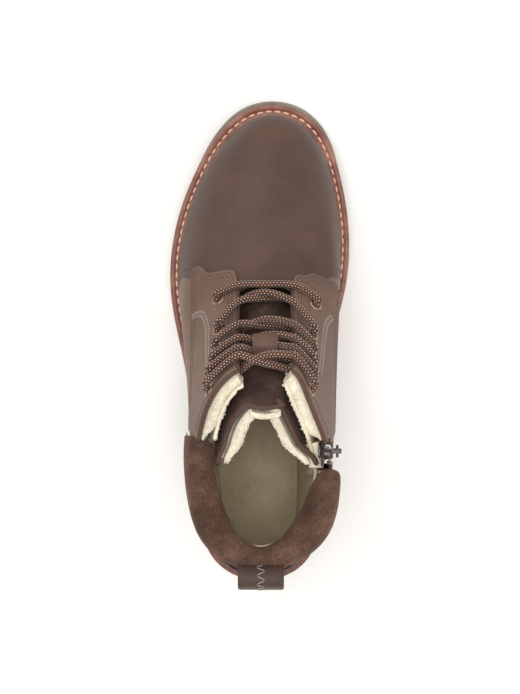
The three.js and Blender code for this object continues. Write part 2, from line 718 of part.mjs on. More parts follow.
// ---- tongue ----
function tongueOffset(depth) {
  return (u, v) => {
    const d = Math.abs(u - NU / 2);
    const rise = TONGUE_RISE * Math.max(0, 1 - d) * clamp((v - 4) * 2, 0, 1) * clamp((5.9 - v) / 0.9, 0, 1);
    const lean = TONGUE_LEAN * clamp(v - 4.9, 0, 1) ** 1.5 * (1 - 0.6 * clamp(d / 3.4, 0, 1));
    const pinch = Math.sign(NU / 2 - u) * Math.min(d, 2) / 2 * TONGUE_PINCH * clamp(v - 5, 0, 1);
    return [TONGUE_TOP + rise - depth, pinch, -lean];
  };
}
const foamAt = TONGUE_SKIN_T + LAYER_GAP;
const innerAt = foamAt + TONGUE_FOAM_T + LAYER_GAP;
const TONGUE_A = [[3.8, 6.6], [4.3, 6.1], [5, 5.9], [6, 5.9]];
const TONGUE_B = mirror(TONGUE_A);
const tongueStrips = stripsBetween(3.8, 6, TONGUE_A, TONGUE_B);
add("tongue", panel(tongueStrips, tongueOffset(TONGUE_SKIN_T), tongueOffset(0)), 0x5c463c);
add("tongue_foam", panel(tongueStrips, tongueOffset(foamAt + TONGUE_FOAM_T), tongueOffset(foamAt)),
  PADDING, 1);
add("tongue_lining", panel(tongueStrips, tongueOffset(innerAt + TONGUE_SKIN_T), tongueOffset(innerAt)),
  WOOL, 1);
const GUSSET_A = [[4.5, 5.6], [5, 5.1], [5.5, 4.8], [6, 4.6]];
const GUSSET_B = shift(TONGUE_A, -SLIT);
add("gusset_outer", panel(stripsBetween(4.5, 5.95, GUSSET_A, GUSSET_B), tongueOffset(TONGUE_SKIN_T + 1.2),
  tongueOffset(0)), 0x5c463c);
add("gusset_inner", panel(stripsBetween(4.5, 5.95, mirror(GUSSET_B), mirror(GUSSET_A)),
  tongueOffset(TONGUE_SKIN_T + 1.2), tongueOffset(0)), 0x5c463c);

// ---- eyelets ----
const EYELET_PROFILE = [[EYELET_BORE_R, 2.1], [EYELET_FLANGE_R, 2.1], [EYELET_FLANGE_R, 1.5],
  [EYELET_BORE_R + 0.5, 1.5], [EYELET_BORE_R + 0.5, -2.3], [EYELET_FLANGE_R, -2.3], [EYELET_FLANGE_R, -2.8],
  [EYELET_BORE_R, -2.8]];
eyelets.forEach((e) => {
  add(e.name, lathe(EYELET_PROFILE, 12, e.centre, e.axis), BRASS, 0.45, 0.8);
});

// ---- lace ----
class Route extends THREE.Curve {
  constructor(points) {
    super();
    this.points = points;
  }

  getPoint(t) {
    const x = clamp(t, 0, 1) * (this.points.length - 1);
    const i = Math.min(Math.floor(x + 1e-9), this.points.length - 2);
    return this.points[i].clone().lerp(this.points[i + 1], clamp(x - i, 0, 1));
  }

  getPointAt(t) {
    return this.getPoint(t);
  }

  getTangentAt(t) {
    const n = this.points.length - 1;
    const i = Math.round(clamp(t, 0, 1) * n);
    const a = this.points[Math.max(0, i - 1)];
    const b = this.points[Math.min(n, i + 1)];
    return b.clone().sub(a).normalize();
  }
}

function tube(points, radius, sides) {
  const shape = new THREE.Shape();
  for (let k = 0; k < sides; k += 1) {
    const a = 2 * Math.PI * k / sides;
    if (k === 0) {
      shape.moveTo(radius, 0);
    } else {
      shape.lineTo(radius * Math.cos(a), radius * Math.sin(a));
    }
  }
  shape.closePath();
  const g = new THREE.ExtrudeGeometry(shape, { steps: points.length - 1, bevelEnabled: false,
    extrudePath: new Route(points), curveSegments: 1 });
  return fromManifold(toManifold(orient(g)));
}

function orient(g) {
  const flatG = g.index ? g.toNonIndexed() : g;
  const pos = flatG.getAttribute("position");
  const points = [];
  const tris = [];
  for (let i = 0; i < pos.count; i += 1) {
    points.push(new THREE.Vector3().fromBufferAttribute(pos, i));
    if (i % 3 === 2) {
      tris.push([i - 2, i - 1, i]);
    }
  }
  return bodyFrom(points, tris);
}

const eye = (side, k) => eyelets.find((e) => e.side === side && e.k === k);

function fromEye(e, along, o) {
  const towards = e.side < 0 ? 1 : -1;
  const step = at(e.u + towards * 0.05, e.v, 0).sub(at(e.u - towards * 0.05, e.v, 0)).normalize();
  return e.centre.clone().addScaledVector(e.axis, o).addScaledVector(step, along);
}

// from above the eyelet down through it and out below, or the reverse
function overTurn(e) {
  return [fromEye(e, 5.0, 5.4), fromEye(e, 2.6, 5.2), fromEye(e, 0.9, 4.3), fromEye(e, 0.05, 2.6)];
}

function underTurn(e) {
  return [fromEye(e, 0.05, -3.1), fromEye(e, 0.9, -4.9), fromEye(e, 2.6, -5.75), fromEye(e, 4.6, -5.85)];
}

function span(a, b, centreOff) {
  const list = [];
  const dir = a.side < 0 ? 1 : -1;
  const mid = NU / 2;
  const steps = [[-0.95, 0.3, -5.5], [-0.72, 0.36, -4.2 + centreOff * 0.3],
    [-0.36, 0.43, -1.2 + centreOff * 0.75], [0, 0.5, 1.5 + centreOff],
    [0.36, 0.57, 2.9 + centreOff * 0.8], [0.72, 0.64, 4.3 + centreOff * 0.2],
    [1.02, 0.72, 5.0]];
  steps.forEach(([du, t, o]) => {
    list.push(at(mid + dir * du, lerp(a.v, b.v, t), o));
  });
  return list;
}

const OVER = 2.6;
const halves = [[], []];
for (let k = 0; k < EYELET_V.length - 1; k += 1) {
  const s = k % 2 === 0 ? -1 : 1;
  [[s, 0], [-s, 1]].forEach(([side, h]) => {
    const a = eye(side, k);
    const b = eye(-side, k + 1);
    const up = h === k % 2 ? OVER : -OVER;
    halves[h].push(...underTurn(a), ...span(a, b, up), ...overTurn(b));
  });
}
const ends = [0, 1].map((h) => {
  const side = h === 0 ? 1 : -1;
  const e = eye(side, EYELET_V.length - 1);
  return { e, list: underTurn(e).slice(0, 3) };
});
const bar = [...overTurn(eye(-1, 0)).reverse()];
const barMid = [-0.7, -0.35, 0, 0.35, 0.7].map((d) => at(NU / 2 + d, EYELET_V[0] + 0.1 - 0.02 * d,
  5.3 - 0.6 * d * d));
bar.push(...barMid, ...overTurn(eye(1, 0)));
const lacePath = [...[...halves[0], ...ends[0].list].reverse(), ...bar, ...halves[1], ...ends[1].list];
add("lace", tube(lacePath, LACE_R, 8), LACE_COL);
ends.forEach(({ e }, h) => {
  const a = fromEye(e, 3.7, -6.1);
  const b = fromEye(e, 3.7 + AGLET_LEN, -5.9);
  const axis = b.clone().sub(a).normalize();
  add(h === 0 ? "aglet_inner" : "aglet_outer", rod(a, axis, LACE_R - 0.1, 0, AGLET_LEN, 10), 0x3a2a22, 0.4);
});

// ---- lace keeper on the tongue ----
const keepV = (EYELET_V[2] + EYELET_V[3]) / 2;
const keepBase = at(NU / 2, keepV, 0);
const keepOut = axisAt(NU / 2, keepV);
const keepAcross = new THREE.Vector3(1, 0, 0);
keepAcross.addScaledVector(keepOut, -keepAcross.dot(keepOut)).normalize();
const keepUp = keepOut.clone().cross(keepAcross).normalize();
const keepLow = -4.3;
const keepHigh = 7.4;
const keepHalf = 6.0;
const keeperShape = [[-keepHalf - KEEPER_T, keepLow], [-keepHalf - KEEPER_T, keepHigh + KEEPER_T],
  [keepHalf + KEEPER_T, keepHigh + KEEPER_T], [keepHalf + KEEPER_T, keepLow], [keepHalf, keepLow],
  [keepHalf, keepHigh], [-keepHalf, keepHigh], [-keepHalf, keepLow]];
const keeperRings = [-KEEPER_W / 2, KEEPER_W / 2].map((x) => keeperShape.map(([y, o]) => keepBase.clone()
  .addScaledVector(keepAcross, x).addScaledVector(keepUp, y).addScaledVector(keepOut, o)));
add("lace_keeper", loft(keeperRings), LEATHER);

// ---- pull loop at the heel ----
const LOOP_HALF = 13.5;
const LOOP_T = 2.0;
const LOOP_PATH = [[-136.4, 93], [-136.0, 103], [-139.0, 112], [-141.6, 123], [-141.2, 133], [-138.2, 139.4],
  [-132, 141.6], [-123.5, 141.8]];
function strapBand(path, t) {
  const left = [];
  const right = [];
  path.forEach((p, i) => {
    const a = path[Math.max(0, i - 1)];
    const b = path[Math.min(path.length - 1, i + 1)];
    const n = new THREE.Vector2(-(b[1] - a[1]), b[0] - a[0]).normalize();
    left.push([p[0] + n.x * t / 2, p[1] + n.y * t / 2]);
    right.unshift([p[0] - n.x * t / 2, p[1] - n.y * t / 2]);
  });
  return [...left, ...right];
}
const loopBand = strapBand(LOOP_PATH, LOOP_T);
add("heel_pull_loop", loft([-LOOP_HALF, LOOP_HALF].map((x) => loopBand.map(([y, z]) =>
  new THREE.Vector3(x + 0.5, y, z)))), LEATHER_DARK);

// ---- zip ----
[["front", -1], ["rear", 1]].forEach(([name, s]) => {
  const a = s * TOOTH_GAP / 2;
  const sorted = (x, y) => [Math.min(x, y), Math.max(x, y)];
  add(`zip_tape_${name}`, zipBox(sorted(a, a + s * TAPE_W), [0, zipLength + 3], [TAPE_LOW, TAPE_LOW + TAPE_T]),
    ZIP_TAPE, 0.9);
  add(`zip_teeth_${name}`, zipBox(sorted(a, a + s * TOOTH_W), [1.5, zipLength - 4],
    [TAPE_LOW + TAPE_T + 0.2, TEETH_TOP]), ZIP_METAL, 0.4, 1);
});
add("zip_bottom_stop", zipBox([-3.4, 3.4], [zipLength - 3.6, zipLength],
  [TAPE_LOW + TAPE_T + 0.2, TEETH_TOP + 0.4]), ZIP_METAL, 0.4, 1);
const sA = SLIDER_REST - SLIDER_L / 2;
const sB = SLIDER_REST + SLIDER_L / 2;
const plateLow = TEETH_TOP + 0.3;
const bail = cut(zipBox([-1.6, 1.6], [SLIDER_REST - 2.4, SLIDER_REST + 2.4], [plateLow + 1, plateLow + 6.1]),
  [zipBox([-3, 3], [SLIDER_REST - 1.2, SLIDER_REST + 1.2], [plateLow + 2.6, plateLow + 5.0])]);
add("zip_slider", join([zipBox([-SLIDER_W / 2, SLIDER_W / 2], [sA, sB], [plateLow, plateLow + 1.4]),
  zipBox([-0.35, 0.35], [sA + 1, sB - 5], [TAPE_LOW - 1, plateLow + 0.3]),
  zipBox([-SLIDER_W / 2, SLIDER_W / 2], [sA, sB], [TAPE_LOW - 1.6, TAPE_LOW - 0.3]), bail]), ZIP_METAL, 0.4, 1);
const pA = SLIDER_REST - 0.75;
const pullOut = [plateLow + 3.05, plateLow + 4.55];
add("zip_puller", cut(join([zipBox([-3.6, 3.6], [pA, pA + 12], pullOut),
  zipBox([-2.6, 2.6], [pA + 11, pA + 24], pullOut)]),
[zipBox([-2.1, 2.1], [pA + 1.5, pA + 9.5], [0, 9])]), ZIP_METAL, 0.4, 1);
const hingeAt = new THREE.Vector3(0, SLIDER_REST, plateLow + 3.8).applyMatrix4(zipBasis);

// ---- shared frame: bottom centre of the whole box at the origin ----
const box = new THREE.Box3().setFromObject(group);
const centre = box.getCenter(new THREE.Vector3());
group.children.forEach((m) => {
  m.geometry.translate(-centre.x, -centre.y, -box.min.z);
});

group.userData.zipDirection = zipDown.toArray();
group.userData.zipAcross = zipSide.toArray();
group.userData.pullerHinge = [hingeAt.x - centre.x, hingeAt.y - centre.y, hingeAt.z - box.min.z];

export default group;
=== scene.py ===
"""An insulated lace-up boot for the left foot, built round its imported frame.

Millimetres go into the shape functions and metres into the meshes.
"""

import math

import bpy
import numpy as np
from bpy.props import FloatProperty, FloatVectorProperty, PointerProperty
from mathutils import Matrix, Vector


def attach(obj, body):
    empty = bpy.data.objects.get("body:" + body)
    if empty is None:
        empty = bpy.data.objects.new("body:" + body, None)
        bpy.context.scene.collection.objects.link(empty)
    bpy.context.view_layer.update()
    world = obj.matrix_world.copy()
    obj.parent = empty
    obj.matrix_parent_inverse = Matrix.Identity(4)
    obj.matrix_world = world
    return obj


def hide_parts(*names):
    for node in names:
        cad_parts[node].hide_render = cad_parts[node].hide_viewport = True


bl_info = {
    "name": "Insulated Boot",
    "version": (1, 0, 0),
    "blender": (4, 5, 0),
    "location": "3D View > Sidebar > Boot",
    "description": "Builds a wool-lined lace-up boot with a side zip",
    "category": "Object",
}

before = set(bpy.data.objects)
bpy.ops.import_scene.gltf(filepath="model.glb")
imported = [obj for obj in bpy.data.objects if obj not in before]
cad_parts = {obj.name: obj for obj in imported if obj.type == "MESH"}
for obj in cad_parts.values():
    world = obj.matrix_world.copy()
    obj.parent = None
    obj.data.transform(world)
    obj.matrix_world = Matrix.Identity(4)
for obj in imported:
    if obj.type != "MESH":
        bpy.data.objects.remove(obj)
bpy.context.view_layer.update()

# ---------------------------------------------------------------- the upper's surface
# Nine stations from the back seam to the instep line, in seven rows from the sole to the rim:
# x on the outer side, x on the inner side, y, and z, or None for the top of the sole.
FRAME_SHIFT = np.array([-0.296, 3.814, 0.0])
FORE_Z = 20.5
HEEL_Z = 33.0
TOE_SPRING = 9.0
ROWS = [
    [(0.5, 0.5, -139.5, None), (-23.5, 24.5, -129.5, None), (-34, 33, -97, None),
     (-37, 32.5, -52, None), (-41.5, 34.5, -9, None), (-50.5, 48.5, 43, None), (-39.5, 46.5, 98, None),
     (-16, 31, 133, None), (7.9, 7.9, 143.5, None)],
    [(0.5, 0.5, -142, 51.5), (-24.5, 25.5, -131.5, 51), (-35.5, 35, -97, 48.5), (-39, 36, -54, 44),
     (-44, 39.5, -11, 37), (-52.5, 51.5, 41, 31), (-40.5, 47.8, 98, 35), (-16.5, 32, 134, 42),
     (7.8, 7.8, 146.5, 44)],
    [(0.5, 0.5, -141, 68), (-24, 25, -130.5, 67), (-36, 37, -97, 63), (-41, 40.5, -57, 58),
     (-45, 43.5, -14, 50), (-51, 51, 38, 44.5), (-37, 46, 92, 50), (-14, 30, 123, 59),
     (7.3, 7.3, 134, 63)],
    [(0.5, 0.5, -136.5, 85), (-23, 24, -127.5, 84), (-36, 38, -97, 81), (-42, 43.2, -62, 76),
     (-44.6, 45.6, -20, 69), (-47, 48.5, 25, 64), (-34, 42, 66, 65), (-15, 26, 90, 71.5),
     (5.5, 5.5, 98, 75)],
    [(0.5, 0.5, -131.5, 102), (-22, 23.5, -124, 101), (-35, 38, -100, 99), (-41, 43.4, -68, 95),
     (-43, 45, -33, 90), (-41.5, 45, -1, 85), (-31, 37, 26, 83), (-13.4, 20, 45, 85.5),
     (3.4, 3.4, 49.5, 86.6)],
    [(0.5, 0.5, -128, 118), (-21, 22.5, -120.5, 118), (-33.5, 38, -103, 118), (-39.5, 42.6, -76, 118),
     (-41, 43, -49, 118), (-36.5, 39.5, -26, 118), (-28, 31, -7, 119.5), (-13.2, 19.6, 5, 121),
     (3, 3, 6.5, 121.5)],
    [(0.5, 0.5, -126.5, 134.5), (-20, 21.5, -120.5, 135.5), (-32.5, 35.5, -106, 137.5),
     (-37, 40.5, -83, 141), (-36.5, 39.5, -61, 146), (-33, 33, -42, 153), (-26, 26.5, -26, 160),
     (-12.6, 18.6, -13.5, 164.5), (3, 3, -13, 165.5)],
]
STATIONS = 16

# the sole's layers, in mm
SEAT_DROP = 0.6
WELT_T = 2.6
MIDSOLE_T = 5.0
OUTSOLE_HEEL_T = 7.0
LAYER_GAP = 0.3
HEEL_BREAST_Y = -60
GROOVE_HALF = 2.1
GROOVE_D = 3.0
FORE_GROOVES = (120, 104, 88, 72, 56, 40, 24)
HEEL_GROOVES = (-84, -102, -120)

# the upper's layers: the inner and outer face of each, from the surface, in mm
SKIN = (-1.7, 0.15)
INSULATION = (-8.3, -3.5)
LINING_BACK = -8.6
FACING_OUT = 1.5
COVER_OUT = 1.6
SEAM_GAP = 0.03


def spring_at(y):
    return TOE_SPRING * np.clip((np.asarray(y, float) - 85) / 66, 0, None) ** 2


def sole_top(y):
    t = np.clip((25 - np.asarray(y, float)) / 95, 0, 1)
    return FORE_Z + (HEEL_Z - FORE_Z) * t * t * (3 - 2 * t) + spring_at(y)


def spline_controls():
    """Control points of the bicubic B-spline that passes through every point of the net."""
    net = np.zeros((len(ROWS), STATIONS, 3))
    for r, row in enumerate(ROWS):
        for k, (outer_x, inner_x, y, z) in enumerate(row):
            z = sole_top(y) if z is None else z
            if r in (1, 2):
                outer_x += (0.0, 0.6, 0.8, 0.9, 0.9, 1.0, 1.0, 0.6, 0.0)[k]
                inner_x -= (0.0, 0.6, 0.8, 0.9, 1.0, 1.3, 1.4, 0.8, 0.0)[k]
                y += (2.3, 1.8, 0.0, 0.0, 0.0, 0.0, -0.4, -1.0, -1.6)[k]
            net[r, k] = (outer_x, y, z)
            if 0 < k < STATIONS // 2:
                net[r, STATIONS - k] = (inner_x, y, z)
    c = net.copy()
    for _ in range(60):
        for i in range(STATIONS):
            c[:, i] = (6 * net[:, i] - c[:, i - 1] - c[:, (i + 1) % STATIONS]) / 4
    target = c.copy()
    for _ in range(60):
        for i in range(1, len(ROWS) - 1):
            c[i] = (6 * target[i] - c[i - 1] - c[i + 1]) / 4
    return np.concatenate([2 * c[:1] - c[1:2], c, 2 * c[-1:] - c[-2:-1]])


CONTROLS = spline_controls()
TOP_ROW = len(ROWS) - 1


def basis(t):
    s = 1 - t
    return (s**3 / 6, (3 * t**3 - 6 * t**2 + 4) / 6, (-3 * t**3 + 3 * t**2 + 3 * t + 1) / 6, t**3 / 6)


def surf(u, v):
    """Point of the upper at station u and row v, in the maker's own millimetres."""
    u, v = np.broadcast_arrays(np.asarray(u, float), np.clip(np.asarray(v, float), 0, TOP_ROW))
    iu = np.floor(u).astype(int)
    iv = np.minimum(np.floor(v).astype(int), TOP_ROW - 1)
    bu, bv = basis(u - iu), basis(v - iv)
    out = np.zeros(u.shape + (3,))
    for a in range(4):
        for b in range(4):
            out += (bv[a] * bu[b])[..., None] * CONTROLS[iv + a, (iu - 1 + b) % STATIONS]
    return out


def surf_normal(u, v, step=0.02):
    v = np.clip(np.asarray(v, float), 0, TOP_ROW)
    du = surf(np.asarray(u) + step, v) - surf(np.asarray(u) - step, v)
    dv = surf(u, np.clip(v + step, 0, TOP_ROW)) - surf(u, np.clip(v - step, 0, TOP_ROW))
    n = np.cross(dv, du)
    return n / np.linalg.norm(n, axis=-1, keepdims=True)


def at(u, v, off=0.0):
    """The surface point moved off along its normal. off may be an array or a function of u and v."""
    u, v = np.broadcast_arrays(np.asarray(u, float), np.asarray(v, float))
    extra = 0.0
    if callable(off):
        off, extra = off(u, v)
    return surf(u, v) + surf_normal(u, v) * np.asarray(off)[..., None] + extra


def metres(p):
    return (np.asarray(p, float) - FRAME_SHIFT) / 1000.0


def along(table, t):
    """Straight-line reading of a table of (t, value) pairs, rounded off by a short average."""
    t = np.asarray(t, float)
    ts, xs = zip(*table)
    return sum(np.interp(t + d, ts, xs) for d in (-0.08, -0.04, 0, 0.04, 0.08)) / 5


def smooth_path(points, per=8, closed=False):
    """A Catmull-Rom line through the points, with per steps for each span."""
    p = np.asarray(points, float)
    n = len(p)
    spans = n if closed else n - 1
    out = []
    for i in range(spans):
        if closed:
            q = [p[(i + k) % n] for k in (-1, 0, 1, 2)]
        else:
            q = [p[max(i - 1, 0)], p[i], p[i + 1], p[min(i + 2, n - 1)]]
        for t in np.arange(per) / per:
            out.append(0.5 * (2 * q[1] + (q[2] - q[0]) * t + (2 * q[0] - 5 * q[1] + 4 * q[2] - q[3]) * t**2
                              + (3 * q[1] - q[0] - 3 * q[2] + q[3]) * t**3))
    if not closed:
        out.append(p[-1])
    return np.array(out)


# ---------------------------------------------------------------- meshes
def new_object(name, verts, faces, uvs=None, smooth=True):
    mesh = bpy.data.meshes.new(name)
    mesh.from_pydata([tuple(v) for v in np.asarray(verts).reshape(-1, 3)], [], [tuple(f) for f in faces])
    if uvs is not None:
        layer = mesh.uv_layers.new(name="UVMap")
        loops = np.empty(len(mesh.loops), int)
        mesh.loops.foreach_get("vertex_index", loops)
        layer.data.foreach_set("uv", np.asarray(uvs, float)[loops].ravel())
    mesh.update()
    obj = bpy.data.objects.new(name, mesh)
    bpy.context.scene.collection.objects.link(obj)
    if smooth:
        mesh.shade_smooth()
    return obj


def outward(mesh):
    """Turns a closed mesh so that it holds a positive volume."""
    v = np.empty(len(mesh.vertices) * 3)
    mesh.vertices.foreach_get("co", v)
    v = v.reshape(-1, 3)
    total = 0.0
    for p in mesh.polygons:
        k = p.vertices
        for i in range(1, len(k) - 1):
            total += float(np.dot(v[k[0]], np.cross(v[k[i]], v[k[i + 1]])))
    if total < 0:
        mesh.flip_normals()


def apply_modifiers(obj):
    deps = bpy.context.evaluated_depsgraph_get()
    done = bpy.data.meshes.new_from_object(obj.evaluated_get(deps))
    done.name = obj.name
    obj.modifiers.clear()
    old = obj.data
    obj.data = done
    bpy.data.meshes.remove(old)
    return obj


def bevelled(obj, width_mm, segments=2, angle=50):
    mod = obj.modifiers.new("edge", "BEVEL")
    mod.width = width_mm / 1000
    mod.segments = segments
    mod.limit_method = "ANGLE"
    mod.angle_limit = math.radians(angle)
    return obj


def grid_shell(name, outer, inner, uv=None, bevel=0.0):
    """A closed skin between two grids of points of one shape, rows by columns."""
    rows, cols = outer.shape[:2]
    n = rows * cols
    verts = np.concatenate([outer.reshape(-1, 3), inner.reshape(-1, 3)])
    idx = np.arange(n).reshape(rows, cols)
    faces = []
    for j in range(rows - 1):
        for i in range(cols - 1):
            a, b, c, d = idx[j, i], idx[j, i + 1], idx[j + 1, i + 1], idx[j + 1, i]
            faces.append((a, b, c, d))
            faces.append((a + n, d + n, c + n, b + n))
    rim = list(idx[0, :]) + list(idx[1:, -1]) + list(idx[-1, -2::-1]) + list(idx[-2:0:-1, 0])
    for k, a in enumerate(rim):
        b = rim[(k + 1) % len(rim)]
        faces.append((b, a, a + n, b + n))
    uvs = None
    if uv is not None:
        uvs = np.concatenate([uv.reshape(-1, 2), uv.reshape(-1, 2)])
    obj = new_object(name, metres(verts), faces, uvs)
    outward(obj.data)
    if bevel:
        bevelled(obj, bevel)
    return obj


def panel(name, left, right, low, high, inner, outer, cols, rows, bevel=0.6):
    """A panel of the upper. left and right give the station for t, low and high give the row for s."""
    s, t = np.meshgrid(np.linspace(0, 1, cols), np.linspace(0, 1, rows))
    a = left(t) if callable(left) else np.full_like(t, left)
    b = right(t) if callable(right) else np.full_like(t, right)
    u = a + (b - a) * s
    lo = low(s) if callable(low) else np.full_like(s, low)
    hi = high(s) if callable(high) else np.full_like(s, high)
    v = lo + (hi - lo) * t
    return grid_shell(name, at(u, v, outer), at(u, v, inner), np.stack([u, v], -1), bevel)


def run_along(path):
    """The distance from a line's first point to each of its points."""
    return np.concatenate([[0], np.cumsum(np.linalg.norm(np.diff(path, axis=0), axis=1))])


def frames_along(path):
    """Unit tangents, and a side and an upward vector carried along without twisting."""
    p = np.asarray(path, float)
    tang = np.gradient(p, axis=0)
    tang /= np.linalg.norm(tang, axis=1, keepdims=True)
    side = np.zeros_like(p)
    first = np.cross(tang[0], (0, 0, 1.0))
    if np.linalg.norm(first) < 0.2:
        first = np.cross(tang[0], (0, 1.0, 0))
    side[0] = first / np.linalg.norm(first)
    for i in range(1, len(p)):
        s = side[i - 1] - tang[i] * np.dot(side[i - 1], tang[i])
        side[i] = s / np.linalg.norm(s)
    return tang, side, np.cross(tang, side)


def sweep(name, path, section, ups=None):
    """Sweeps a closed section, a list of (side, up) pairs in mm, along a path in mm."""
    path = np.asarray(path, float)
    tang, side, up = frames_along(path)
    if ups is not None:
        up = np.asarray(ups, float)
        up = up - tang * np.sum(up * tang, 1, keepdims=True)
        up /= np.linalg.norm(up, axis=1, keepdims=True)
        side = np.cross(up, tang)
    sec = np.asarray(section, float)
    m, n = len(sec), len(path)
    pts = path[:, None] + side[:, None] * sec[None, :, :1] + up[:, None] * sec[None, :, 1:]
    idx = np.arange(n * m).reshape(n, m)
    faces = []
    for r in range(n - 1):
        for k in range(m):
            k2 = (k + 1) % m
            faces.append((idx[r, k], idx[r, k2], idx[r + 1, k2], idx[r + 1, k]))
    faces.append(tuple(idx[0, ::-1]))
    faces.append(tuple(idx[-1, :]))
    run = run_along(path)
    uv = np.stack([np.repeat(run, m), np.tile(np.arange(m) / m, n)], -1)
    obj = new_object(name, metres(pts.reshape(-1, 3)), faces, uv)
    outward(obj.data)
    return obj


def round_section(radius, sides):
    a = np.arange(sides) * 2 * math.pi / sides
    return np.stack([np.cos(a) * radius, np.sin(a) * radius], -1)


def join(name, objs):
    """One object from several, their meshes put together in order."""
    base = objs[0]
    if len(objs) > 1:
        with bpy.context.temp_override(active_object=base, selected_editable_objects=objs, object=base,
                                       selected_objects=objs):
            bpy.ops.object.join()
    base.name = name
    base.data.name = name
    return base


def ring_outline(grow, toe_extra=0.0, heel_extra=0.0, count=192):
    """The sole's outline: the bottom edge of the upper moved outwards in plan."""
    u = np.arange(count) * STATIONS / count
    p = surf(u, np.zeros(count))
    t = np.roll(p, -1, 0) - np.roll(p, 1, 0)
    out = np.stack([-t[:, 1], t[:, 0]], -1)
    out /= np.linalg.norm(out, axis=1, keepdims=True)
    if np.sum(out[:, 0] * p[:, 0]) < 0:
        out = -out
    more = (np.clip((p[:, 1] - 105) / 35, 0, 1) * toe_extra
            + np.clip((-115 - p[:, 1]) / 25, 0, 1) * heel_extra)
    grown = p[:, :2] + out * (grow + more)[:, None]
    for _ in range(2):
        grown = (np.roll(grown, 1, 0) + 2 * grown + np.roll(grown, -1, 0)) / 4
    return grown


def finish(obj, body, material, replaces=()):
    obj.data.materials.clear()
    obj.data.materials.append(material)
    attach(obj, body)
    if replaces:
        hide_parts(*replaces)
    return obj


# ---------------------------------------------------------------- materials
def linear(hex_colour):
    h = hex_colour.lstrip("#")
    rgb = [int(h[i:i + 2], 16) / 255 for i in (0, 2, 4)]
    return tuple(c / 12.92 if c <= 0.04045 else ((c + 0.055) / 1.055) ** 2.4 for c in rgb) + (1.0,)


def node(tree, kind, links=None, **settings):
    """Adds one node, sets its fields and input values, and links its inputs."""
    n = tree.nodes.new(kind)
    for key, value in settings.items():
        if key.startswith("in_"):
            name = key[3:]
            n.inputs[int(name) if name.isdigit() else name.replace("_", " ")].default_value = value
        else:
            setattr(n, key, value)
    for key, source in (links or {}).items():
        tree.links.new(source, n.inputs[key])
    return n


def start_material(name):
    mat = bpy.data.materials.new(name)
    mat.use_nodes = True
    tree = mat.node_tree
    tree.nodes.clear()
    out = node(tree, "ShaderNodeOutputMaterial")
    shader = node(tree, "ShaderNodeBsdfPrincipled")
    tree.links.new(shader.outputs[0], out.inputs[0])
    return mat, tree, shader


def coords(tree, scale=(1, 1, 1), source="Object"):
    tex = node(tree, "ShaderNodeTexCoord")
    return node(tree, "ShaderNodeMapping", {0: tex.outputs[source]}, in_Scale=scale).outputs[0]


def ramp(tree, fac, stops):
    r = node(tree, "ShaderNodeValToRGB", {0: fac})
    e = r.color_ramp.elements
    while len(e) > 1:
        e.remove(e[-1])
    e[0].position, e[0].color = stops[0][0], linear(stops[0][1])
    for pos, col in stops[1:]:
        e.new(pos).color = linear(col)
    return r.outputs[0]


def coloured_relief(tree, shader, colour, height, strength, depth_mm):
    """Gives a shader its colour, and its relief from a height."""
    tree.links.new(colour, shader.inputs["Base Color"])
    bump = node(tree, "ShaderNodeBump", {"Height": height}, in_Strength=strength, in_Distance=depth_mm / 1000)
    tree.links.new(bump.outputs[0], shader.inputs["Normal"])


def leather(name, dark, mid, light, rough=(0.5, 0.66), grain_mm=0.9, relief=0.18):
    """Full-grain cowhide, waxed: cloudy tone where the wax pulls up, a fine pebble, a low even shine."""
    mat, tree, shader = start_material(name)
    xyz = coords(tree)
    cloud = node(tree, "ShaderNodeTexNoise", {0: xyz}, in_Scale=34.0, in_Detail=5.0, in_Roughness=0.6)
    fine = node(tree, "ShaderNodeTexNoise", {0: xyz}, in_Scale=620.0, in_Detail=3.0, in_Roughness=0.6)
    tone = node(tree, "ShaderNodeMath", {0: fine.outputs[0]}, operation="MULTIPLY", in_1=0.28)
    total = node(tree, "ShaderNodeMath", {0: cloud.outputs[0], 1: tone.outputs[0]}, operation="ADD")
    colour = ramp(tree, total.outputs[0], [(0.3, dark), (0.64, mid), (1.0, light)])
    pebble = node(tree, "ShaderNodeTexVoronoi", {0: xyz}, feature="DISTANCE_TO_EDGE",
                  in_Scale=1000 / grain_mm, in_Randomness=1.0)
    pit = node(tree, "ShaderNodeMath", {0: pebble.outputs[0]}, operation="MINIMUM", in_1=0.3)
    height = node(tree, "ShaderNodeMath", {0: pit.outputs[0], 1: fine.outputs[0]}, operation="ADD")
    coloured_relief(tree, shader, colour, height.outputs[0], relief, 0.4)
    shine = node(tree, "ShaderNodeMapRange", {0: cloud.outputs[0]}, in_1=0.3, in_2=0.7, in_3=rough[0],
                 in_4=rough[1])
    tree.links.new(shine.outputs[0], shader.inputs["Roughness"])
    shader.inputs["IOR"].default_value = 1.48
    shader.inputs["Specular IOR Level"].default_value = 0.34
    return mat


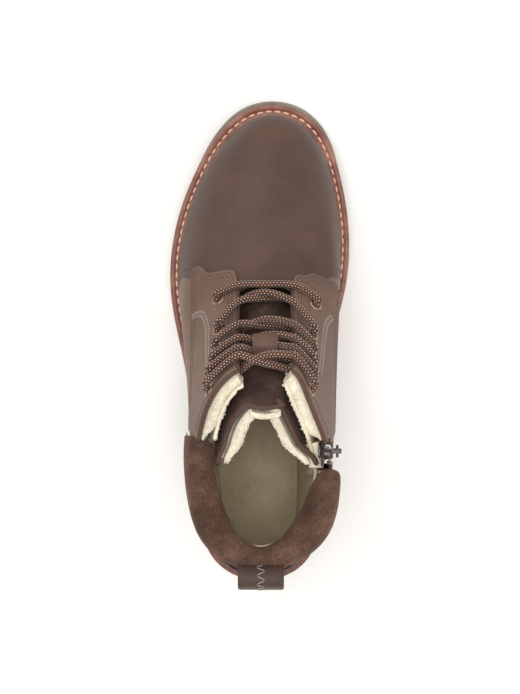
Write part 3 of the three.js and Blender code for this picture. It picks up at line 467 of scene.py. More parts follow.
def nap(name, dark, mid, light, fibre_mm=0.55, relief=0.5, sheen=0.35, cloud_scale=70.0, tint="#b09080"):
    """Suede, felt or fleece: short fibres that scatter light, in flecks and soft clouds of tone."""
    mat, tree, shader = start_material(name)
    xyz = coords(tree)
    cloud = node(tree, "ShaderNodeTexNoise", {0: xyz}, in_Scale=cloud_scale, in_Detail=4.0, in_Roughness=0.65)
    fleck = node(tree, "ShaderNodeTexNoise", {0: xyz}, in_Scale=1000 / fibre_mm, in_Detail=2.0,
                 in_Roughness=0.7)
    part = node(tree, "ShaderNodeMath", {0: fleck.outputs[0]}, operation="MULTIPLY", in_1=0.9)
    total = node(tree, "ShaderNodeMath", {0: cloud.outputs[0], 1: part.outputs[0]}, operation="ADD")
    half = node(tree, "ShaderNodeMath", {0: total.outputs[0]}, operation="MULTIPLY", in_1=0.53)
    colour = ramp(tree, half.outputs[0], [(0.36, dark), (0.5, mid), (0.66, light)])
    coloured_relief(tree, shader, colour, total.outputs[0], relief, 0.5)
    shader.inputs["Roughness"].default_value = 0.95
    shader.inputs["Sheen Weight"].default_value = sheen
    shader.inputs["Sheen Roughness"].default_value = 0.6
    shader.inputs["Sheen Tint"].default_value = linear(tint)
    shader.inputs["Specular IOR Level"].default_value = 0.2
    return mat


def metal(name, dark, light, rough=0.38):
    """Zinc casting with an old-brass or gun-black wash, in random patches."""
    mat, tree, shader = start_material(name)
    xyz = coords(tree)
    wash = node(tree, "ShaderNodeTexNoise", {0: xyz}, in_Scale=420.0, in_Detail=4.0, in_Roughness=0.7)
    colour = ramp(tree, wash.outputs[0], [(0.35, dark), (0.62, light)])
    shine = node(tree, "ShaderNodeMapRange", {0: wash.outputs[0]}, in_1=0.3, in_2=0.7, in_3=rough - 0.1,
                 in_4=rough + 0.14)
    tree.links.new(shine.outputs[0], shader.inputs["Roughness"])
    coloured_relief(tree, shader, colour, wash.outputs[0], 0.15, 0.2)
    shader.inputs["Metallic"].default_value = 1.0
    return mat


def rubber(name, dark, light):
    """Moulded sole rubber: chalky, with fine mould grain and a little dust in soft patches."""
    mat, tree, shader = start_material(name)
    xyz = coords(tree)
    dust = node(tree, "ShaderNodeTexNoise", {0: xyz}, in_Scale=55.0, in_Detail=5.0, in_Roughness=0.6)
    grit = node(tree, "ShaderNodeTexNoise", {0: xyz}, in_Scale=1600.0, in_Detail=2.0)
    colour = ramp(tree, dust.outputs[0], [(0.3, dark), (0.7, light)])
    coloured_relief(tree, shader, colour, grit.outputs[0], 0.2, 0.3)
    shader.inputs["Roughness"].default_value = 0.8
    return mat


def edge_leather(name, dark, mid, light):
    """Stacked and burnished sole edge: thin level layers, waxed."""
    mat, tree, shader = start_material(name)
    xyz = coords(tree)
    layer = node(tree, "ShaderNodeTexNoise", {0: coords(tree, (9, 9, 420))}, in_Scale=1.0, in_Detail=3.0)
    cloud = node(tree, "ShaderNodeTexNoise", {0: xyz}, in_Scale=90.0, in_Detail=5.0, in_Roughness=0.7)
    total = node(tree, "ShaderNodeMath", {0: layer.outputs[0], 1: cloud.outputs[0]}, operation="ADD")
    half = node(tree, "ShaderNodeMath", {0: total.outputs[0]}, operation="MULTIPLY", in_1=0.5)
    colour = ramp(tree, half.outputs[0], [(0.36, dark), (0.5, mid), (0.64, light)])
    coloured_relief(tree, shader, colour, total.outputs[0], 0.25, 0.4)
    shader.inputs["Roughness"].default_value = 0.5
    shader.inputs["Coat Weight"].default_value = 0.12
    return mat


def braid(name, dark, fleck, pitch_mm=2.3, rows=8):
    """Braided round cord: plaited ridges with a pale tracer thread that surfaces as staggered dots."""
    mat, tree, shader = start_material(name)
    tex = node(tree, "ShaderNodeTexCoord")
    split = node(tree, "ShaderNodeSeparateXYZ", {0: tex.outputs["UV"]})
    run = node(tree, "ShaderNodeMath", {0: split.outputs[0]}, operation="MULTIPLY", in_1=1 / pitch_mm)
    turn = node(tree, "ShaderNodeMath", {0: split.outputs[1]}, operation="MULTIPLY", in_1=float(rows))
    row = node(tree, "ShaderNodeMath", {0: turn.outputs[0]}, operation="FLOOR")
    odd = node(tree, "ShaderNodeMath", {0: row.outputs[0]}, operation="MULTIPLY", in_1=0.5)
    shifted = node(tree, "ShaderNodeMath", {0: run.outputs[0], 1: odd.outputs[0]}, operation="ADD")
    fx = node(tree, "ShaderNodeMath", {0: shifted.outputs[0]}, operation="FRACT")
    fy = node(tree, "ShaderNodeMath", {0: turn.outputs[0]}, operation="FRACT")
    dx = node(tree, "ShaderNodeMath", {0: fx.outputs[0]}, operation="SUBTRACT", in_1=0.5)
    dy = node(tree, "ShaderNodeMath", {0: fy.outputs[0]}, operation="SUBTRACT", in_1=0.5)
    sx = node(tree, "ShaderNodeMath", {0: dx.outputs[0]}, operation="MULTIPLY", in_1=1.15)
    sy = node(tree, "ShaderNodeMath", {0: dy.outputs[0]}, operation="MULTIPLY", in_1=0.95)
    vec = node(tree, "ShaderNodeCombineXYZ", {0: sx.outputs[0], 1: sy.outputs[0]})
    dist = node(tree, "ShaderNodeVectorMath", {0: vec.outputs[0]}, operation="LENGTH")
    dot = node(tree, "ShaderNodeMapRange", {0: dist.outputs["Value"]}, in_1=0.13, in_2=0.26, in_3=1.0,
               in_4=0.0)
    noise = node(tree, "ShaderNodeTexNoise", {0: coords(tree)}, in_Scale=1500.0, in_Detail=2.0)
    base = ramp(tree, noise.outputs[0], [(0.35, dark[0]), (0.65, dark[1])])
    pale = ramp(tree, noise.outputs[0], [(0.3, fleck[0]), (0.7, fleck[1])])
    mix = node(tree, "ShaderNodeMix", {0: dot.outputs[0], 6: base, 7: pale}, data_type="RGBA")
    hump = node(tree, "ShaderNodeMath", {0: dist.outputs["Value"]}, operation="MULTIPLY", in_1=-1.0)
    lint = node(tree, "ShaderNodeMath", {0: noise.outputs[0]}, operation="MULTIPLY_ADD", in_1=0.3, in_2=0.0)
    tree.links.new(hump.outputs[0], lint.inputs[2])
    coloured_relief(tree, shader, mix.outputs[2], lint.outputs[0], 0.7, 0.6)
    shader.inputs["Roughness"].default_value = 0.85
    shader.inputs["Sheen Weight"].default_value = 0.15
    return mat


def twill(name, dark, light, thread_mm=0.6):
    """Woven polyester zip tape: slanting ribs of fine thread."""
    mat, tree, shader = start_material(name)
    wave = node(tree, "ShaderNodeTexWave", {0: coords(tree)}, bands_direction="DIAGONAL",
                in_Scale=1000 / thread_mm / 3.2, in_Distortion=0.4)
    colour = ramp(tree, wave.outputs[1], [(0.2, dark), (0.8, light)])
    coloured_relief(tree, shader, colour, wave.outputs[1], 0.4, 0.3)
    shader.inputs["Roughness"].default_value = 0.9
    return mat


def thread(name, dark, light):
    """Waxed bonded thread: a soft twisted sheen, in fine random flecks of paler and darker tone."""
    mat, tree, shader = start_material(name)
    twist = node(tree, "ShaderNodeTexNoise", {0: coords(tree)}, in_Scale=2100.0, in_Detail=2.0)
    colour = ramp(tree, twist.outputs[0], [(0.3, dark), (0.7, light)])
    coloured_relief(tree, shader, colour, twist.outputs[0], 0.3, 0.2)
    shader.inputs["Roughness"].default_value = 0.6
    return mat


MATS = {}


def make_materials():
    MATS.update({
        # waxed cowhide: dull and cloudy, paler where the wax pulls up; the sides and facing take paler copies
        # of it, painted light where light falls on them at a grazing angle
        "vamp": leather("waxed_cowhide_vamp", "#3d2b23", "#4c382f", "#5d4539"),
        # the sides: the same cowhide painted paler, a painted highlight of grazing light on the quarters
        "side": leather("waxed_cowhide_sides_painted_light", "#553f34", "#6b5345", "#826756", (0.46, 0.6)),
        # the facing: the same cowhide painted a little paler, painted light where light falls on the slopes
        # of the throat
        "tab": leather("waxed_cowhide_facing_painted_light", "#503b31", "#665043", "#7d6354"),
        "strap": leather("waxed_cowhide_strap", "#2b1e17", "#3d2b23", "#4f3b32", (0.42, 0.55)),
        "keeper": leather("waxed_cowhide_keeper", "#45322a", "#5c453a", "#6f564a", (0.44, 0.58)),
        "edge": leather("cut_leather_edge", "#3a2822", "#4c372f", "#5e483e", (0.6, 0.75)),
        # hides and cloths with a nap: no shine of their own, flecked, soft at the edges
        "collar": nap("nubuck_collar", "#291c16", "#493429", "#6d5448", 0.7, 0.6, 0.22, 40.0),
        "tongue": nap("suede_tongue", "#261a15", "#40302a", "#5a463d", 0.8, 0.5, 0.2),
        "wool": nap("shorn_wool", "#c2bba5", "#d8d0bb", "#e8e1cf", 1.6, 0.6, 0.25, 120.0, "#f4ecdc"),
        "felt": nap("needle_felt", "#a4987f", "#bcae93", "#cfc1a6", 0.9, 0.35, 0.15, 30.0, "#e8dcc4"),
        # the stitched rim and midsole edge, thin red-brown layers burnished together
        "rim": edge_leather("burnished_rim", "#5a2e22", "#7c4a3b", "#a06e5c"),
        # moulded sole rubber, chalky grey-brown
        "rubber": rubber("moulded_rubber", "#6c675c", "#8b8478"),
        # waxed thread: pale round the rim, dark on the seams, greyish on the arcs
        "welt_thread": thread("waxed_thread_pale", "#cf9a7c", "#f2cdb2"),
        "brown_thread": thread("waxed_thread_brown", "#3a2a24", "#5a463d"),
        "light_thread": thread("waxed_thread_tan", "#7b6a62", "#a0918a"),
        # a braided polyester cord with dots of tracer, and its hard dipped tips
        "lace": braid("braided_lace", ("#301c13", "#4f3125"), ("#c99e82", "#eac9ae"), 2.0, 9),
        "tip": leather("moulded_lace_tip", "#231914", "#2e211b", "#3a2b24", (0.25, 0.35)),
        # plated zinc and brass, with a patchy wash
        "brass": metal("old_brass", "#7a6052", "#b09484", 0.42),
        "gun": metal("gun_black_zinc", "#2c2627", "#6f6566", 0.36),
        # zip tape, fibre board and wadding, seen only at edges
        "tape": twill("zip_tape_twill", "#261c19", "#44352f"),
        "board": leather("fibre_board", "#a08860", "#b89c74", "#c8b088", (0.8, 0.9)),
        "wadding": nap("polyester_wadding", "#b8b4ac", "#d2cec6", "#e6e2da", 1.4, 0.6, 0.3, 90.0, "#ffffff"),
    })


# ---------------------------------------------------------------- Geometry Nodes
def new_tree(name, inputs):
    """A geometry tree with named inputs, its group input node and its output socket."""
    tree = bpy.data.node_groups.new(name, "GeometryNodeTree")
    tree.interface.new_socket("Geometry", in_out="INPUT", socket_type="NodeSocketGeometry")
    for label, kind, value in inputs:
        socket = tree.interface.new_socket(label, in_out="INPUT", socket_type=kind)
        if value is not None:
            socket.default_value = value
    tree.interface.new_socket("Geometry", in_out="OUTPUT", socket_type="NodeSocketGeometry")
    return tree, node(tree, "NodeGroupInput"), node(tree, "NodeGroupOutput")


def close_tree(tree, start, end, instances):
    """Ends a tree in Realize Instances and Set Material."""
    real = node(tree, "GeometryNodeRealizeInstances", {0: instances})
    painted = node(tree, "GeometryNodeSetMaterial",
                   {"Geometry": real.outputs[0], "Material": start.outputs["Material"]})
    shaded = node(tree, "GeometryNodeSetShadeSmooth", {"Geometry": painted.outputs[0]})
    tree.links.new(shaded.outputs[0], end.inputs[0])
    return tree


def run_tree(obj, tree, values):
    """Runs a tree on an object with the given named inputs and keeps the plain mesh."""
    mod = obj.modifiers.new("grow", "NODES")
    mod.node_group = tree
    ids = {i.name: i.identifier for i in tree.interface.items_tree if getattr(i, "in_out", "") == "INPUT"}
    for label, value in values.items():
        mod[ids[label]] = value
    return apply_modifiers(obj)


def stitch_tree():
    """Stitches along edges: each one a flattened bead lying on the surface named by "up"."""
    tree, start, end = new_tree("stitch_row", [
        ("Pitch", "NodeSocketFloat", 0.003), ("Length", "NodeSocketFloat", 0.0024),
        ("Width", "NodeSocketFloat", 0.0008), ("Height", "NodeSocketFloat", 0.0005),
        ("Slant", "NodeSocketFloat", 0.0), ("Material", "NodeSocketMaterial", None)])
    curve = node(tree, "GeometryNodeMeshToCurve", {0: start.outputs["Geometry"]})
    points = node(tree, "GeometryNodeResampleCurve", {"Curve": curve.outputs[0],
                                                      "Length": start.outputs["Pitch"]}, mode="LENGTH")
    tangent = node(tree, "GeometryNodeInputTangent")
    up = node(tree, "GeometryNodeInputNamedAttribute", data_type="FLOAT_VECTOR", in_Name="up")
    faced = node(tree, "FunctionNodeAxesToRotation", {0: up.outputs[0], 1: tangent.outputs[0]},
                 primary_axis="Z", secondary_axis="X")
    slant = node(tree, "FunctionNodeAxisAngleToRotation", {"Angle": start.outputs["Slant"]},
                 in_Axis=(0, 0, 1))
    turned = node(tree, "FunctionNodeRotateRotation", {0: faced.outputs[0], 1: slant.outputs[0]},
                  rotation_space="LOCAL")
    bead = node(tree, "GeometryNodeMeshUVSphere", in_Segments=6, in_Rings=5, in_Radius=0.5)
    size = node(tree, "ShaderNodeCombineXYZ", {0: start.outputs["Length"], 1: start.outputs["Width"],
                                               2: start.outputs["Height"]})
    placed = node(tree, "GeometryNodeInstanceOnPoints", {
        "Points": points.outputs[0], "Instance": bead.outputs[0], "Rotation": turned.outputs[0],
        "Scale": size.outputs[0]})
    return close_tree(tree, start, end, placed.outputs[0])


def pile_tree():
    """Short curled tufts scattered over the faces whose "pile" is 1."""
    tree, start, end = new_tree("wool_pile", [
        ("Spacing", "NodeSocketFloat", 0.0016), ("Size", "NodeSocketFloat", 0.0011),
        ("Seed", "NodeSocketInt", 7), ("Material", "NodeSocketMaterial", None)])
    pile = node(tree, "GeometryNodeInputNamedAttribute", data_type="FLOAT", in_Name="pile")
    here = node(tree, "FunctionNodeCompare", {0: pile.outputs[0]}, operation="GREATER_THAN", in_1=0.5)
    spots = node(tree, "GeometryNodeDistributePointsOnFaces", {
        "Mesh": start.outputs["Geometry"], "Selection": here.outputs[0],
        "Distance Min": start.outputs["Spacing"], "Seed": start.outputs["Seed"]},
        distribute_method="POISSON", in_Density_Max=400000.0)
    tuft = node(tree, "GeometryNodeMeshIcoSphere", {"Radius": start.outputs["Size"]}, in_Subdivisions=1)
    turn = node(tree, "FunctionNodeRandomValue", {"Seed": start.outputs["Seed"]}, data_type="FLOAT_VECTOR",
                in_0=(-3.1, -3.1, -3.1), in_1=(3.1, 3.1, 3.1))
    size = node(tree, "FunctionNodeRandomValue", {"Seed": start.outputs["Seed"]}, data_type="FLOAT_VECTOR",
                in_0=(0.35, 0.25, 0.5), in_1=(0.95, 0.6, 1.5))
    placed = node(tree, "GeometryNodeInstanceOnPoints", {
        "Points": spots.outputs[0], "Instance": tuft.outputs[0], "Rotation": turn.outputs[0],
        "Scale": size.outputs[0]})
    return close_tree(tree, start, end, placed.outputs[0])


def teeth_tree():
    """Cast zip teeth set one by one down a line of points, each a body with a round head."""
    tree, start, end = new_tree("zip_teeth", [
        ("Across", "NodeSocketVector", (1.0, 0.0, 0.0)), ("Out", "NodeSocketVector", (0.0, 0.0, 1.0)),
        ("Material", "NodeSocketMaterial", None)])
    body = node(tree, "GeometryNodeMeshCube", in_Size=(0.0019, 0.00085, 0.0026))
    head = node(tree, "GeometryNodeMeshCylinder", in_Vertices=8, in_Radius=0.0007, in_Depth=0.0023)
    moved = node(tree, "GeometryNodeTransform", {"Geometry": head.outputs[0]}, in_Translation=(0.0008, 0, 0))
    both = node(tree, "GeometryNodeJoinGeometry", {0: body.outputs[0]})
    tree.links.new(moved.outputs[0], both.inputs[0])
    faced = node(tree, "FunctionNodeAxesToRotation", {0: start.outputs["Out"], 1: start.outputs["Across"]},
                 primary_axis="Z", secondary_axis="X")
    placed = node(tree, "GeometryNodeInstanceOnPoints", {
        "Points": start.outputs["Geometry"], "Instance": both.outputs[0], "Rotation": faced.outputs[0]})
    return close_tree(tree, start, end, placed.outputs[0])


TREES = {}


def stitches(name, rows, material, pitch, length, width=0.8, height=0.5, slant=0.0):
    """rows is a list of (points in mm, outward vectors); one object of stitches comes back."""
    verts, edges, ups = [], [], []
    for points, normals in rows:
        base = len(verts)
        verts += [tuple(p) for p in metres(points)]
        ups += [tuple(n) for n in normals]
        edges += [(base + i, base + i + 1) for i in range(len(points) - 1)]
    mesh = bpy.data.meshes.new(name)
    mesh.from_pydata(verts, edges, [])
    layer = mesh.attributes.new("up", "FLOAT_VECTOR", "POINT")
    layer.data.foreach_set("vector", np.asarray(ups, float).ravel())
    obj = bpy.data.objects.new(name, mesh)
    bpy.context.scene.collection.objects.link(obj)
    return run_tree(obj, TREES["stitch"], {
        "Pitch": pitch / 1000, "Length": length / 1000, "Width": width / 1000, "Height": height / 1000,
        "Slant": slant, "Material": material})


def surface_row(points, off, per=10):
    """A stitch line on the upper through (station, row) points."""
    p = smooth_path([(u, v, 0) for u, v in points], per)
    return at(p[:, 0], p[:, 1], off), surf_normal(p[:, 0], p[:, 1])


def inset(points, distance):
    """The same (station, row) line moved sideways by a distance in mm across the surface."""
    p = smooth_path([(u, v, 0) for u, v in points], 6)[:, :2]
    here, normal = surf(p[:, 0], p[:, 1]), surf_normal(p[:, 0], p[:, 1])
    tang = np.gradient(here, axis=0)
    side = np.cross(normal, tang)
    side /= np.linalg.norm(side, axis=1, keepdims=True)
    e = 0.02
    du = (surf(p[:, 0] + e, p[:, 1]) - surf(p[:, 0] - e, p[:, 1])) / (2 * e)
    dv = (surf(p[:, 0], p[:, 1] + e) - surf(p[:, 0], p[:, 1] - e)) / (2 * e)
    out = []
    for k in range(len(p)):
        m = np.stack([du[k], dv[k]], 1)
        step, *_ = np.linalg.lstsq(m, side[k] * distance, rcond=None)
        out.append((p[k, 0] + step[0], min(p[k, 1] + step[1], 5.98)))
    return out[::3] + [out[-1]]


# ---------------------------------------------------------------- noise for the fleece
def value_noise(p, cell, seed):
    """Smooth noise from -1 to 1 at points p (mm), with lumps about one cell across."""
    q = np.asarray(p, float) / cell + 1000.0
    i = np.floor(q).astype(np.int64)
    f = q - i
    f = f * f * (3 - 2 * f)
    out = 0.0
    for dx in (0, 1):
        for dy in (0, 1):
            for dz in (0, 1):
                h = (((i[..., 0] + dx) * 73856093) ^ ((i[..., 1] + dy) * 19349663)
                     ^ ((i[..., 2] + dz) * 83492791))
                h = (h ^ (seed * 2654435761)) & 0xFFFFFFFF
                h = (h * 1103515245 + 12345) & 0x7FFFFFFF
                w = (f[..., 0] if dx else 1 - f[..., 0]) * (f[..., 1] if dy else 1 - f[..., 1]) \
                    * (f[..., 2] if dz else 1 - f[..., 2])
                out = out + w * (h / 0x3FFFFFFF - 1)
    return out


def fleece(base, lump=0.9, seed=3):
    """An offset rule for wool: the base offset, made lumpy."""
    def rule(u, v):
        off, extra = base(u, v)
        p = surf(u, v)
        rough = value_noise(p, 5.0, seed) * 0.6 + value_noise(p, 2.2, seed + 1) * 0.5
        return off + lump * rough, extra
    return rule


def flat_rule(off):
    return lambda u, v: (np.full(np.shape(u), off), 0.0)


# ---------------------------------------------------------------- panel lines of this boot
SEAM = [(0, 4.75), (1, 4.8), (2, 5.0), (2.7, 5.25), (3.06, 5.4), (3.4, 5.75), (3.6, 5.95), (3.78, 6.3),
        (3.9, 6.6), (4.0, 6.8), (4.15, 6.93), (6, 6.93)]
ZIP_LINE = [(0, 13.3), (2, 13.18), (3, 13.1), (4, 12.9), (5, 12.5), (6, 12.0)]
FACING_FRONT = [(5.48, 3.04), (5.7, 3.18), (5.92, 3.4), (6.1, 3.6), (6.46, 3.78), (6.78, 3.9), (6.92, 3.98),
                (7.0, 4.12)]
FACING_LOW = [(3.98, 4.98), (4.3, 4.7), (4.66, 4.36), (5.16, 3.78), (5.38, 3.34), (5.48, 3.04)]
INNER_FRONT = [(10.8, 3.04), (10.4, 3.34), (10.14, 3.54), (9.94, 3.64), (9.56, 3.8), (9.36, 3.92),
               (9.12, 4.0), (9.0, 4.12)]
INNER_LOW = [(12.1, 4.94), (11.84, 4.68), (11.5, 4.32), (11.06, 3.8), (10.88, 3.38), (10.8, 3.04)]
COLLAR_OUTER_U = 4.42
EYELET_V = [4.15, 4.64, 4.96, 5.25, 5.54, 5.83]
EYELET_OUTER_U = [1.62, 1.64, 1.74, 1.86, 2.0, 2.16]
EYELET_INNER_U = [1.76, 1.78, 1.84, 1.92, 2.02, 2.12]


def seam_u(v):
    return along(SEAM, v)


def zip_u(v):
    return along(ZIP_LINE, v)


def step(x):
    x = np.clip(x, 0, 1)
    return x * x * (3 - 2 * x)


def seat_z(y):
    return sole_top(y) - SEAT_DROP


def out_top(y):
    return seat_z(y) - WELT_T - LAYER_GAP - MIDSOLE_T - LAYER_GAP


def out_low(y):
    k = step((-5 - np.asarray(y, float)) / 40)
    return spring_at(y) * (1 - k) + (out_top(y) - OUTSOLE_HEEL_T) * k


# the zip's own axes: across, down along it, and outwards
ZIP_TOP = np.array([40.0, -60.0, 148.0])
ZIP_DOWN = np.array([0.039156, -0.071192, -0.996694])
ZIP_ACROSS = np.array([-0.012763, -0.997413, 0.070742])
ZIP_OUT = np.cross(ZIP_ACROSS, ZIP_DOWN)
ZIP_LENGTH = 84.279
SLIDER_REST = 7.0
TEETH = 33
TOOTH_PITCH = 2.4


def zip_point(across, down, out):
    a, d, o = (np.asarray(x, float)[..., None] for x in np.broadcast_arrays(across, down, out))
    return ZIP_TOP + a * ZIP_ACROSS + d * ZIP_DOWN + o * ZIP_OUT


def coons(name, low, right, top, left, inner, outer, cols, rows, bevel):
    """A panel bounded by four (station, row) lines: low and top run left to right, left and right run up."""
    def read(points, n):
        p = smooth_path([(u, v, 0) for u, v in points], 12)[:, :2]
        run = run_along(p)
        run /= run[-1]
        t = np.linspace(0, 1, n)
        return np.stack([np.interp(t, run, p[:, 0]), np.interp(t, run, p[:, 1])], -1)
    b, tp = read(low, cols), read(top, cols)
    l, r = read(left, rows), read(right, rows)
    s = np.linspace(0, 1, cols)[None, :, None]
    t = np.linspace(0, 1, rows)[:, None, None]
    uv = ((1 - t) * b[None] + t * tp[None] + (1 - s) * l[:, None] + s * r[:, None]
          - (1 - s) * (1 - t) * b[0] - s * (1 - t) * b[-1] - (1 - s) * t * tp[0] - s * t * tp[-1])
    u, v = uv[..., 0], uv[..., 1]
    return grid_shell(name, at(u, v, outer), at(u, v, inner), uv, bevel)


def boolean_cut(obj, cutters):
    """Cuts closed meshes out of a piece and takes them away."""
    for c in cutters:
        mod = obj.modifiers.new("cut", "BOOLEAN")
        mod.operation = "DIFFERENCE"
        mod.solver = "MANIFOLD"
        mod.object = c
    apply_modifiers(obj)
    for c in cutters:
        bpy.data.objects.remove(c)
    return obj


def box_from(name, corners, origin, axes):
    """A box between two corners given in three axes from an origin, all in mm."""
    (a0, a1), (b0, b1), (c0, c1) = corners
    verts = [np.asarray(origin) + a * axes[0] + b * axes[1] + c * axes[2]
             for a in (a0, a1) for b in (b0, b1) for c in (c0, c1)]
    faces = [(0, 1, 3, 2), (4, 6, 7, 5), (0, 4, 5, 1), (2, 3, 7, 6), (0, 2, 6, 4), (1, 5, 7, 3)]
    obj = new_object(name, metres(np.array(verts)), faces, smooth=False)
    outward(obj.data)
    return obj


def prism(name, outline, low, high, hole=None, origin=ZIP_TOP, axes=(ZIP_ACROSS, ZIP_DOWN, ZIP_OUT)):
    """A plate from a flat outline, with a hole of the same number of points if it has one."""
    loops = [outline] if hole is None else [outline, hole]
    verts = []
    for h in (low, high):
        for loop in loops:
            verts += [np.asarray(origin) + x * axes[0] + y * axes[1] + h * axes[2] for x, y in loop]
    n, m = len(outline), len(outline) * len(loops)
    faces = []
    for i in range(n):
        j = (i + 1) % n
        faces.append((i, j, m + j, m + i))
        if hole is not None:
            faces.append((n + j, n + i, m + n + i, m + n + j))
            faces += [(j, i, n + i, n + j), (m + i, m + j, m + n + j, m + n + i)]
    if hole is None:
        faces += [tuple(range(n))[::-1], tuple(range(m, m + n))]
    obj = new_object(name, metres(np.array(verts)), faces, smooth=True)
    outward(obj.data)
    return obj


def rounded(width, length, radius, centre=(0, 0), per=5):
    out = []
    for sx, sy, a0 in ((1, 1, 0), (-1, 1, 90), (-1, -1, 180), (1, -1, 270)):
        for k in range(per):
            a = math.radians(a0 + 90 * k / (per - 1))
            out.append((centre[0] + sx * (width / 2 - radius) + radius * math.cos(a),
                        centre[1] + sy * (length / 2 - radius) + radius * math.sin(a)))
    return out


def lathe(name, profile, centre, axis, sides=28):
    """Turns a closed (radius, height) profile round an axis."""
    axis = np.asarray(axis, float) / np.linalg.norm(axis)
    ref = np.array([0, 1.0, 0]) if abs(axis[1]) < 0.8 else np.array([1.0, 0, 0])
    ex = np.cross(ref, axis)
    ex /= np.linalg.norm(ex)
    ey = np.cross(axis, ex)
    a = np.arange(sides) * 2 * math.pi / sides
    prof = np.asarray(profile, float)
    ring = np.cos(a)[:, None] * ex + np.sin(a)[:, None] * ey
    pts = centre + prof[None, :, :1] * ring[:, None] + prof[None, :, 1:] * axis
    m = len(prof)
    faces = [(r * m + k, r * m + (k + 1) % m, ((r + 1) % sides) * m + (k + 1) % m, ((r + 1) % sides) * m + k)
             for r in range(sides) for k in range(m)]
    obj = new_object(name, metres(pts.reshape(-1, 3)), faces)
    outward(obj.data)
    return obj


# ---------------------------------------------------------------- sole
def ring_solid(name, rings, heights):
    """A solid from stacked closed outlines, each with a height rule, closed by flat fans top and bottom."""
    n = len(rings[0])
    verts = []
    for ring, z in zip(rings, heights):
        verts += [(x, y, float(z(y))) for x, y in ring]
    faces = []
    for r in range(len(rings) - 1):
        for k in range(n):
            j = (k + 1) % n
            faces.append((r * n + k, r * n + j, (r + 1) * n + j, (r + 1) * n + k))
    for r, flip in ((0, True), (len(rings) - 1, False)):
        for k in range(1, n // 2):
            f = [r * n + k, r * n + k + 1, r * n + n - k - 1, r * n + n - k]
            faces.append(tuple(f[::-1]) if flip else tuple(f))
        first = [r * n, r * n + 1, r * n + n - 1]
        faces.append(tuple(first[::-1]) if flip else tuple(first))
    faces = [tuple(dict.fromkeys(f)) for f in faces]
    obj = new_object(name, metres(np.array(verts)), [f for f in faces if len(f) > 2])
    outward(obj.data)
    return obj


